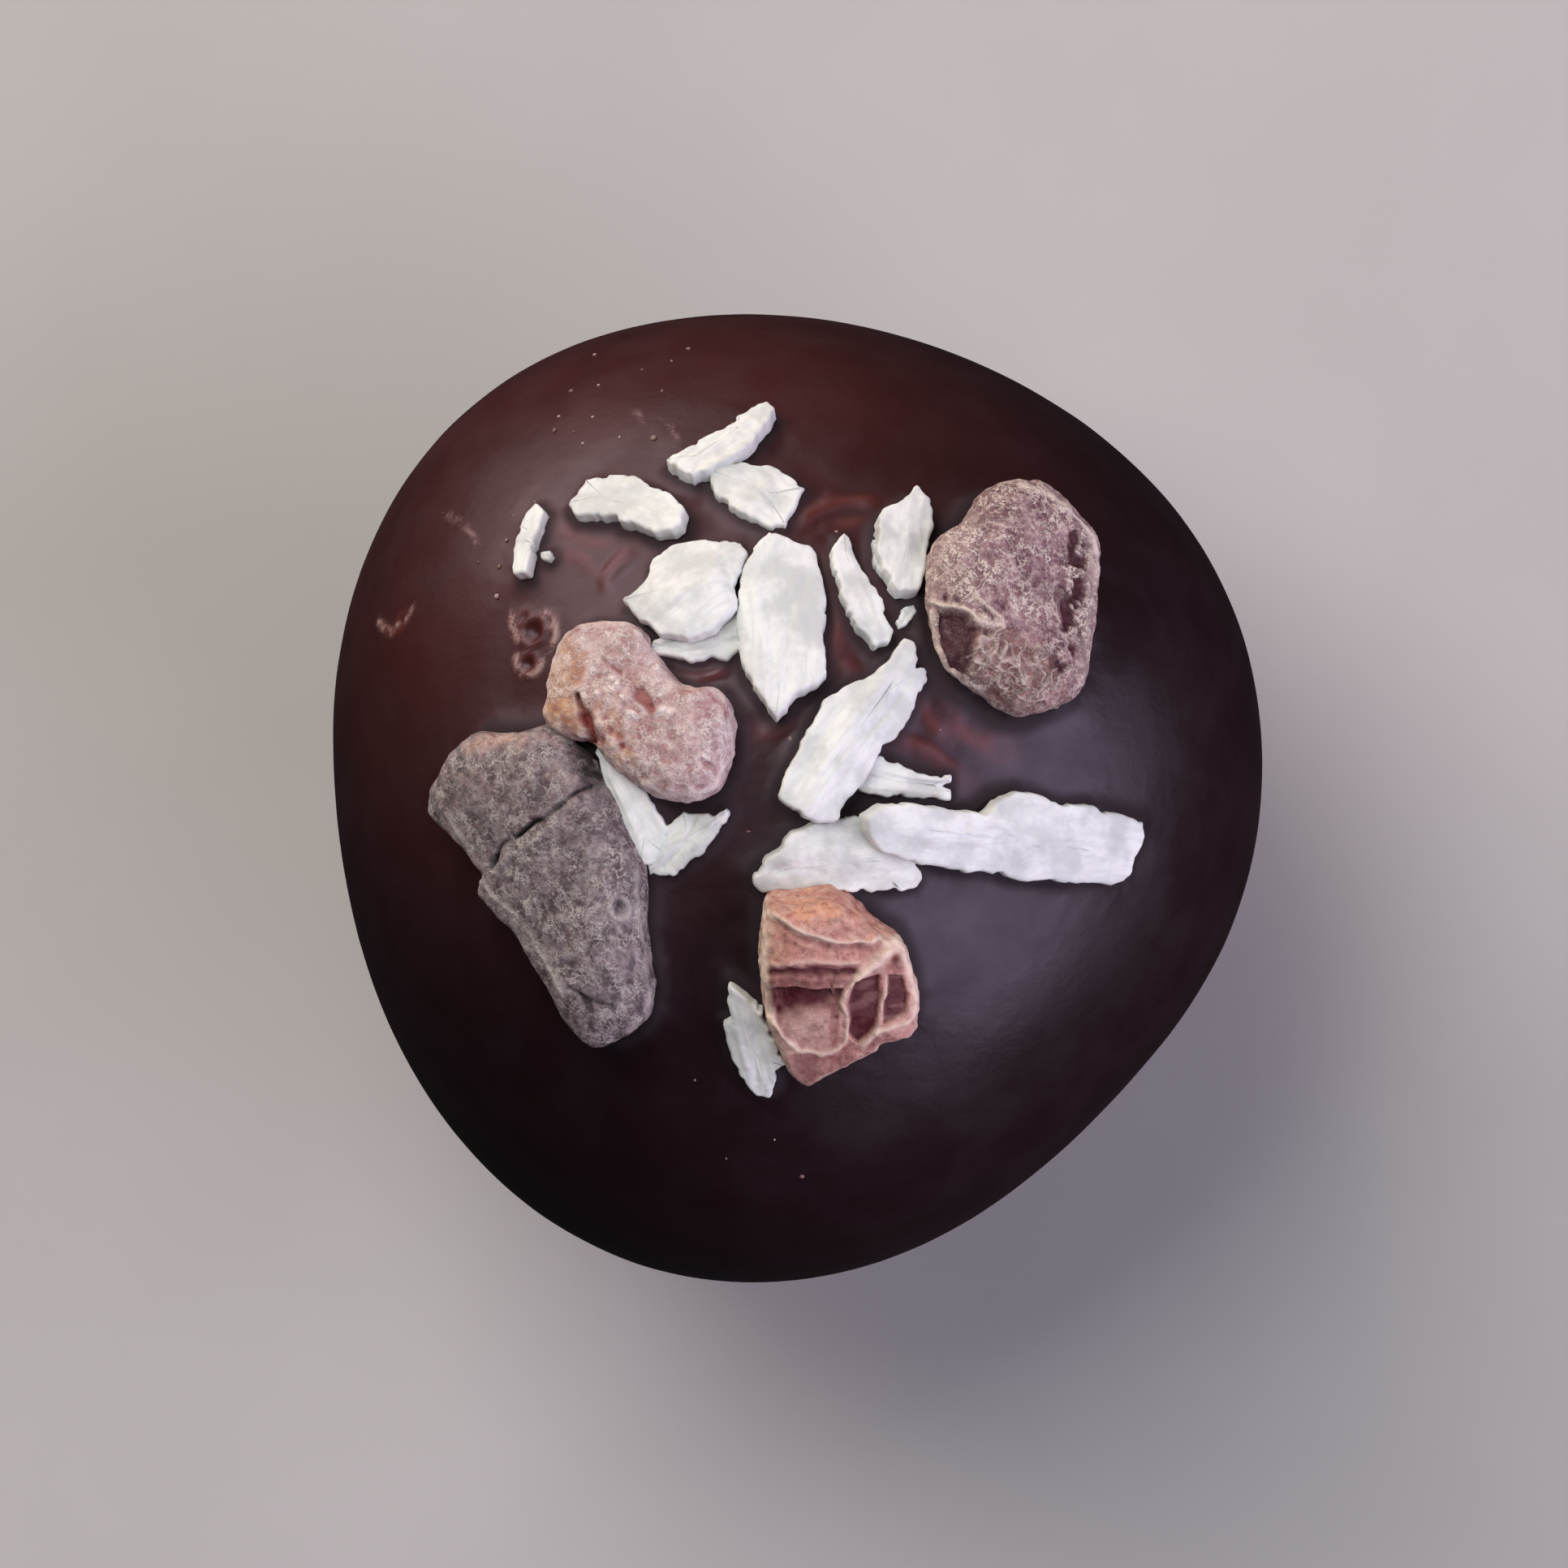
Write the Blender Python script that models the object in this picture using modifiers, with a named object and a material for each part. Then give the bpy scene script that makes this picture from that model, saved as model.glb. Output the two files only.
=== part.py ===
"""Energy ball: a dark chocolate ball topped with cacao nibs and coconut flakes.

The coated ball, the slight foot it set on and the coconut flakes stuck in the chocolate are one
solid. Each cacao nib is a solid of its own, with its underside cut to the ball.
Metres, +Z up. The origin is on the flat resting spot, under the middle of the ball.
"""
import math

import bmesh
import bpy
import numpy as np
from mathutils import Vector

MM = 0.001

# The ball: plan outline, height and flat spot.
MIDDLE = Vector((-0.58, 0.38, 17.0)) * MM
WAIST_RADIUS = 18.05 * MM
OVAL_SWELL = 0.4 * MM
OVAL_TURN = math.radians(90)
THREE_LOBE_SWELL = 0.72 * MM
THREE_LOBE_TURN = math.radians(11)
CROWN_RADIUS = 17.6 * MM
BASE_RADIUS = 18.3 * MM
LUMP_DEPTH = 0.12 * MM
LUMP_WAVES = 9
LUMP_PACE = 3.6
LUMP_SEED = 11

# The foot of chocolate that set on the tray.
FOOT_RADIUS = 9.2 * MM
FOOT_HEIGHT = 0.8 * MM
FOOT_ROUNDING = 0.35 * MM
BALL_UNDERSIDE = 0.3 * MM

# The coconut flakes.
FLAKE_SINK = 0.35 * MM
FLAKE_STATIONS = 6
FLAKE_WRAP = 0.75
NARROWEST_END = 0.15

# The nibs.
CLEARANCE = 0.3 * MM
NIB_SEGMENTS = 28
NIB_RINGS = 12
NIB_EDGE_FULLNESS = 0.55
NIB_CROWN_FULLNESS = 0.8

# Flakes, in mm and degrees: place of the middle in plan, length, width, turn, width of the start
# and of the far end as shares of the widest, sideways bow, height of the top over the chocolate.
FLAKES = {
    "blade": (-0.9, 11.1, 4.5, 0.9, 31, 0.2, 0.6, 0.1, 0.9),
    "chip": (0.4, 8.9, 3.5, 1.9, -26, 0.7, 0.6, 0.0, 0.7),
    "bean": (-4.0, 8.0, 4.9, 1.6, -18, 0.5, 0.8, 0.3, 0.8),
    "stick": (-7.8, 7.2, 2.9, 0.8, 78, 0.7, 0.8, 0.0, 0.7),
    "cup": (-1.2, 5.4, 4.4, 3.7, 50, 0.5, 0.8, 0.0, 1.2),
    "cup_under": (-1.0, 3.5, 3.2, 1.5, 4, 0.5, 0.7, -0.2, 0.6),
    "plank": (1.7, 3.9, 7.0, 2.8, 92, 0.3, 0.6, 0.0, 1.0),
    "needle": (4.6, 5.1, 4.6, 1.0, -64, 0.5, 0.6, 0.1, 0.8),
    "leaf": (5.6, 6.7, 4.4, 1.5, 84, 0.6, 0.5, 0.1, 1.0),
    "oar": (4.2, -0.2, 7.4, 2.3, 56, 0.6, 0.3, -0.2, 1.1),
    "fork": (6.2, -1.8, 3.4, 1.0, -15, 0.8, 0.9, 0.0, 0.6),
    "long": (9.1, -3.7, 11.2, 2.7, -1, 0.5, 0.8, 0.1, 1.1),
    "raft": (3.5, -4.9, 6.2, 2.1, 2, 0.3, 0.6, 0.2, 0.8),
    "wedge": (-2.7, -4.1, 2.5, 0.8, -58, 0.7, 0.7, 0.0, 0.6),
    "fishtail": (-1.6, -4.2, 3.8, 1.2, 42, 0.5, 0.4, 0.1, 0.8),
    "notch": (0.1, -11.2, 4.6, 1.2, -71, 0.3, 0.5, 0.1, 0.8),
}

# Nibs, in mm: place of the middle in plan, thickness, how far they sink in, the outline round the
# middle, and the flats that bevel the top: rise along X, rise along Y, height over the middle.
NIBS = {
    "nib_mauve_pebble": {
        "place": (9.1, 4.9),
        "thickness": 3.4,
        "sink": 0.7,
        "outline": [(0.1, 4.6), (1.6, 4.8), (3.5, 3.7), (3.8, 1.5), (3.5, -1.8), (2.8, -3.7), (1.1, -4.6),
                    (-1.5, -4.2), (-2.7, -3.2), (-3.1, -0.4), (-2.7, 1.6), (-1.5, 2.7)],
        "flats": [(-0.15, 0.06, 2.4)],
        "color": (0.32, 0.21, 0.22),
    },
    "nib_grey_club": {
        "place": (-6.6, -4.5),
        "thickness": 3.0,
        "sink": 0.6,
        "outline": [(-2.6, 4.9), (0.1, 5.2), (2.1, 4.1), (3.7, 0.2), (3.6, -4.4), (3.3, -5.9), (1.6, -6.7),
                    (0.5, -5.7), (-1.3, -2.4), (-2.7, -0.6), (-4.7, 2.2), (-4.5, 3.2)],
        "flats": [(0.08, 0.04, 2.2)],
        "color": (0.30, 0.26, 0.27),
    },
    "nib_pink_kidney": {
        "place": (-2.9, 0.7),
        "thickness": 2.6,
        "sink": 0.4,
        "outline": [(-1.8, 3.1), (-0.6, 3.0), (0.6, 1.5), (1.9, 0.6), (3.0, 0.3), (3.2, -1.5), (2.5, -3.1),
                    (0.4, -3.0), (-0.9, -1.8), (-2.4, -1.0), (-3.6, 0.0), (-3.1, 2.2)],
        "flats": [(0.0, -0.08, 2.0)],
        "color": (0.50, 0.34, 0.33),
    },
    "nib_amber_shard": {
        "place": (3.2, -8.8),
        "thickness": 3.2,
        "sink": 0.6,
        "outline": [(-2.1, 3.4), (0.2, 3.4), (1.5, 2.6), (2.5, 1.4), (2.9, -1.0), (1.2, -2.5), (-1.4, -3.6),
                    (-1.9, -3.0), (-2.6, -1.0), (-2.6, 2.2)],
        "flats": [(0.05, 0.22, 2.5), (-0.2, -0.15, 2.5)],
        "color": (0.42, 0.20, 0.16),
    },
}


# ---------------------------------------------------------------------------------------------------
# The form of the chocolate
# ---------------------------------------------------------------------------------------------------

def lumps(directions):
    """Soft unevenness in each direction: a sum of seeded plane waves, about -1 to 1."""
    rng = np.random.default_rng(LUMP_SEED)
    waves = rng.normal(size=(3, LUMP_WAVES)) * LUMP_PACE
    phases = rng.uniform(0.0, 2.0 * math.pi, LUMP_WAVES)
    return np.sin(directions @ waves + phases).sum(axis=1) / math.sqrt(LUMP_WAVES)


def plan_radius(angles):
    """The waist's outline: a circle with a two-lobed and a three-lobed swell."""
    oval = OVAL_SWELL * np.cos(2.0 * (angles - OVAL_TURN))
    three_lobed = THREE_LOBE_SWELL * np.cos(3.0 * (angles - THREE_LOBE_TURN))
    return WAIST_RADIUS + oval + three_lobed


def coat_radius(directions):
    """Distance from the ball's middle to the chocolate: crown or base radius, easing to the waist."""
    angles = np.arctan2(directions[:, 1], directions[:, 0])
    ends = np.where(directions[:, 2] > 0.0, CROWN_RADIUS, BASE_RADIUS)
    sideways = directions[:, 0] ** 2 + directions[:, 1] ** 2
    return ends + (plan_radius(angles) - ends) * sideways + LUMP_DEPTH * lumps(directions)


def unit_rows(vectors):
    return vectors / np.linalg.norm(vectors, axis=1, keepdims=True)


def seat(x, y):
    """The point on the chocolate above a place in plan, with the outward, right and rear axes there."""
    flat = np.array((x - MIDDLE.x, y - MIDDLE.y))
    radius = WAIST_RADIUS
    for _ in range(8):
        height = math.sqrt(radius ** 2 - flat @ flat)
        outward = unit_rows(np.array([[flat[0], flat[1], height]]))
        radius = coat_radius(outward)[0]
    outward = outward[0]
    right = np.cross((0.0, 1.0, 0.0), outward)
    right /= np.linalg.norm(right)
    rear = np.cross(outward, right)
    return np.array(MIDDLE) + outward * radius, outward, right, rear


# ---------------------------------------------------------------------------------------------------
# Helpers for meshes and objects
# ---------------------------------------------------------------------------------------------------

def new_collection(name):
    collection = bpy.data.collections.new(name)
    bpy.context.scene.collection.children.link(collection)
    return collection


def new_material(name, color, roughness):
    material = bpy.data.materials.new(name)
    material.use_nodes = True
    shader = material.node_tree.nodes["Principled BSDF"]
    shader.inputs["Base Color"].default_value = (*color, 1.0)
    shader.inputs["Roughness"].default_value = roughness
    shader.inputs["Metallic"].default_value = 0.0
    return material


def new_object(name, bm, collection):
    """Turn a bmesh into an object in the collection."""
    mesh = bpy.data.meshes.new(name)
    bm.to_mesh(mesh)
    bm.free()
    obj = bpy.data.objects.new(name, mesh)
    collection.objects.link(obj)
    return obj


def read_points(mesh):
    points = np.empty(len(mesh.vertices) * 3)
    mesh.vertices.foreach_get("co", points)
    return points.reshape(-1, 3)


def write_points(mesh, points):
    mesh.vertices.foreach_set("co", points.ravel())
    mesh.update()


def apply_modifiers(obj):
    """Replace an object's mesh by the one that its modifiers make."""
    depsgraph = bpy.context.evaluated_depsgraph_get()
    finished = bpy.data.meshes.new_from_object(obj.evaluated_get(depsgraph))
    obj.modifiers.clear()
    obj.data = finished


def mark_as_cutter(obj):
    obj.hide_render = True
    obj.display_type = "WIRE"


# ---------------------------------------------------------------------------------------------------
# The pieces
# ---------------------------------------------------------------------------------------------------

def make_ball(name, collection, growth=0.0):
    """A fine icosphere pushed out to the chocolate's form, flat underneath."""
    bm = bmesh.new()
    bmesh.ops.create_icosphere(bm, subdivisions=5, radius=1.0)
    ball = new_object(name, bm, collection)
    directions = unit_rows(read_points(ball.data))
    points = np.array(MIDDLE) + directions * (coat_radius(directions) + growth)[:, None]
    points[:, 2] = np.maximum(points[:, 2], BALL_UNDERSIDE)
    write_points(ball.data, points)
    return ball


def make_foot(collection):
    """A thin disc with a rounded rim and a slightly uneven outline, flat on the floor."""
    bm = bmesh.new()
    bmesh.ops.create_cone(bm, cap_ends=True, segments=40, radius1=FOOT_RADIUS, radius2=FOOT_RADIUS,
                          depth=FOOT_HEIGHT)
    rims = [edge for edge in bm.edges if abs(edge.verts[0].co.z - edge.verts[1].co.z) < FOOT_HEIGHT / 2]
    bmesh.ops.bevel(bm, geom=rims, offset=FOOT_ROUNDING, segments=2, profile=0.5, affect="EDGES")
    foot = new_object("foot", bm, collection)
    points = read_points(foot.data)
    angles = np.arctan2(points[:, 1], points[:, 0])
    uneven = 1.0 + 0.03 * np.sin(2.0 * angles + 0.6) + 0.02 * np.sin(5.0 * angles)
    points[:, :2] *= uneven[:, None]
    points += (MIDDLE.x, MIDDLE.y, FOOT_HEIGHT / 2)
    write_points(foot.data, points)
    return foot


def make_flake(name, values, collection):
    """A grid narrowed towards its ends, bowed, given thickness and laid along the chocolate."""
    x, y, length, width, turn, start_share, end_share, bow, top = values
    bm = bmesh.new()
    bmesh.ops.create_grid(bm, x_segments=FLAKE_STATIONS, y_segments=2, size=1.0)
    flake = new_object(name, bm, collection)
    solidify = flake.modifiers.new("thickness", "SOLIDIFY")
    solidify.thickness = 1.0
    solidify.offset = 1.0
    apply_modifiers(flake)
    along, across, level = read_points(flake.data).T
    narrowing = (1.0 - max(start_share, NARROWEST_END)) * np.clip(-along, 0.0, 1.0) ** 2
    narrowing += (1.0 - max(end_share, NARROWEST_END)) * np.clip(along, 0.0, 1.0) ** 2
    sideways = across * width / 2 * (1.0 - narrowing) + bow * (1.0 - along ** 2)
    forwards = along * length / 2
    cos_turn = math.cos(math.radians(turn))
    sin_turn = math.sin(math.radians(turn))
    to_right = (forwards * cos_turn - sideways * sin_turn) * MM
    to_rear = (forwards * sin_turn + sideways * cos_turn) * MM
    point, outward, right, rear = seat(x * MM, y * MM)
    drop = FLAKE_WRAP * (to_right ** 2 + to_rear ** 2) / (2.0 * WAIST_RADIUS)
    height = np.where(level > 0.5, top * MM, -FLAKE_SINK) - drop
    points = point + np.outer(to_right, right) + np.outer(to_rear, rear) + np.outer(height, outward)
    write_points(flake.data, points)
    return flake


def outline_radius(outline, angles):
    """Distance from a nib's middle to its outline at each angle, along straight sides."""
    corners = np.array(outline)
    turns = np.arctan2(corners[:, 1], corners[:, 0])
    corners = corners[np.argsort(turns)]
    following = np.searchsorted(np.sort(turns), angles) % len(corners)
    x0, y0 = corners[following - 1].T
    x1, y1 = corners[following].T
    return (x0 * y1 - x1 * y0) / (np.cos(angles) * (y1 - y0) - np.sin(angles) * (x1 - x0))


def make_nib(name, nib, collection, cutter):
    """A globe stretched to the nib's outline, bevelled by its flats and cut clear of the ball."""
    bm = bmesh.new()
    bmesh.ops.create_uvsphere(bm, u_segments=NIB_SEGMENTS, v_segments=NIB_RINGS, radius=1.0)
    obj = new_object(name, bm, collection)
    globe = read_points(obj.data)
    angles = np.arctan2(globe[:, 1], globe[:, 0])
    sideways = np.hypot(globe[:, 0], globe[:, 1])
    reach = outline_radius(nib["outline"], angles) * sideways ** NIB_EDGE_FULLNESS
    to_right = reach * np.cos(angles)
    to_rear = reach * np.sin(angles)
    half = nib["thickness"] / 2
    height = half + half * np.sign(globe[:, 2]) * np.abs(globe[:, 2]) ** NIB_CROWN_FULLNESS - nib["sink"]
    for rise_right, rise_rear, level in nib["flats"]:
        height = np.minimum(height, level + rise_right * to_right + rise_rear * to_rear)
    x, y = nib["place"]
    point, outward, right, rear = seat(x * MM, y * MM)
    points = point + (np.outer(to_right, right) + np.outer(to_rear, rear) + np.outer(height, outward)) * MM
    write_points(obj.data, points)
    cut = obj.modifiers.new("underside", "BOOLEAN")
    cut.operation = "DIFFERENCE"
    cut.object = cutter
    obj.data.materials.append(new_material(name, nib["color"], 0.75))
    return obj


def fuse(name, pieces, target):
    """Join the ball with everything stuck to it by one Boolean union, and drop the separate pieces."""
    stuck = new_collection("stuck_on")
    ball, *others = pieces
    for obj in others:
        target.objects.unlink(obj)
        stuck.objects.link(obj)
    union = ball.modifiers.new("union", "BOOLEAN")
    union.operation = "UNION"
    union.operand_type = "COLLECTION"
    union.collection = stuck
    apply_modifiers(ball)
    for obj in list(stuck.objects):
        bpy.data.objects.remove(obj)
    bpy.data.collections.remove(stuck)
    ball.name = name
    return ball


def main():
    for obj in list(bpy.data.objects):
        bpy.data.objects.remove(obj)
    parts = new_collection("energy_ball_parts")
    cutters = new_collection("cutters")

    grown_ball = make_ball("grown_ball", cutters, growth=CLEARANCE)
    mark_as_cutter(grown_ball)

    pieces = [make_ball("coat", parts), make_foot(parts)]
    pieces += [make_flake(name, values, parts) for name, values in FLAKES.items()]
    ball = fuse("energy_ball", pieces, parts)
    ball.data.materials.clear()
    ball.data.materials.append(new_material("dark_chocolate", (0.05, 0.02, 0.018), 0.35))

    for name, nib in NIBS.items():
        make_nib(name, nib, parts, grown_ball)


main()
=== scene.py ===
"""Energy ball: the finish of a dark chocolate ball topped with cacao nibs and shredded coconut.

The chocolate coat, the coconut flakes and the nibs are surfaces worked out as whole arrays. Lengths
are in millimetres until a mesh is made. +Z is up, +X to the right and +Y to the rear, and the origin
is on the flat resting spot. Each topping has a place in plan, and an outline drawn round that place
in the plane that touches the chocolate there.
"""
import math

import bpy
import numpy as np
from mathutils import Matrix, Vector


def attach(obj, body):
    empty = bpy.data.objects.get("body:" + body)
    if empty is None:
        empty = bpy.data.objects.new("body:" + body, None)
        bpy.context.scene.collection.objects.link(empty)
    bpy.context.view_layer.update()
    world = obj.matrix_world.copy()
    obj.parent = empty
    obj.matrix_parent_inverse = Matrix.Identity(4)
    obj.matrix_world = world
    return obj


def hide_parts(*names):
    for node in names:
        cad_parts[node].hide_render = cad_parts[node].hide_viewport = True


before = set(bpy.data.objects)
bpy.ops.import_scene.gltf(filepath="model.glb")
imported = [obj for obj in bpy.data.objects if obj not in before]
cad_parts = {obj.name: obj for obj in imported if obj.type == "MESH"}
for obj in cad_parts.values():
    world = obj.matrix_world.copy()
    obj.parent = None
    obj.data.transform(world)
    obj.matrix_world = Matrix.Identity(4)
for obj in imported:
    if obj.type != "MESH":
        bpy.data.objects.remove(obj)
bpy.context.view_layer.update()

MM = 0.001

# The ball's form, as in the solids.
MIDDLE = np.array((-0.58, 0.38, 17.0))
WAIST_RADIUS = 18.05
OVAL_SWELL = 0.4
OVAL_TURN = math.radians(90)
THREE_LOBE_SWELL = 0.72
THREE_LOBE_TURN = math.radians(11)
CROWN_RADIUS = 17.6
BASE_RADIUS = 18.3
LUMP_DEPTH = 0.12
LUMP_WAVES = 9
LUMP_PACE = 3.6
LUMP_SEED = 11
FOOT_RADIUS = 9.2
FOOT_ROUNDING = 0.5

# The height above the floor over which the relief fades in, the rounds that seat() takes to settle, and
# how far below a seat a point may be and still be on its side of the ball.
RELIEF_FADE = 2.0
SEAT_ROUNDS = 8
NEAR_SIDE_DEPTH = WAIST_RADIUS * 0.6

# How finely the surfaces are cut. The crowding draws the coat's points towards the toppings.
COAT_STEPS = 128
COAT_CROWDING = (0.06, -0.06, 0.5)
OUTLINE_POINTS = 480
FLAKE_AROUND = 150
FLAKE_TOP_RINGS = 12
FLAKE_EDGE_RINGS = 4
FLAKE_UNDER_RINGS = 4
FLAKE_INNERMOST = 0.12
NIB_AROUND = 360
NIB_RINGS = 130
SECTION_SAMPLES = 2000
CLIMB_OUTLINE_POINTS = 90
RIDGE_STEPS = 24
FOLD_STEPS = 12
STROKE_STEPS = 18

# The toppings' edges. The softness blurs an outline, and the flat rounding eases the border of a flat.
# A flake's top stays over its middle plane, a nib's underside lies below the plane that touches the
# chocolate, and relief that is deeper than DEEP_RELIEF goes straight inwards from there. FLAKE_WRAP is
# the share of the ball's curve that a flake follows where its own line doesn't say.
FLAKE_ROUNDING = 0.11
FLAKE_SOFTNESS = 0.05
FLAKE_FLAT_ROUNDING = 0.06
FLAKE_THINNEST = 0.1
RAGGED_DEPTH = 0.1
FLAKE_SEED = 60
FLAKE_WRAP = 0.8
NIB_SOFTNESS = 0.16
NIB_FLAT_ROUNDING = 0.25
NIB_UNDERSIDE = -0.6
DEEP_RELIEF = 0.1

# How the chocolate climbs the toppings stuck in it, and how far round them it counts as close, which is where
# a painted shadow darkens it.
FLAKE_CLIMB = 0.16
FLAKE_CLIMB_WIDTH = 0.28
NIB_CLIMB = 0.26
NIB_CLIMB_WIDTH = 0.5
CLOSENESS_REACH = 1.2

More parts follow.
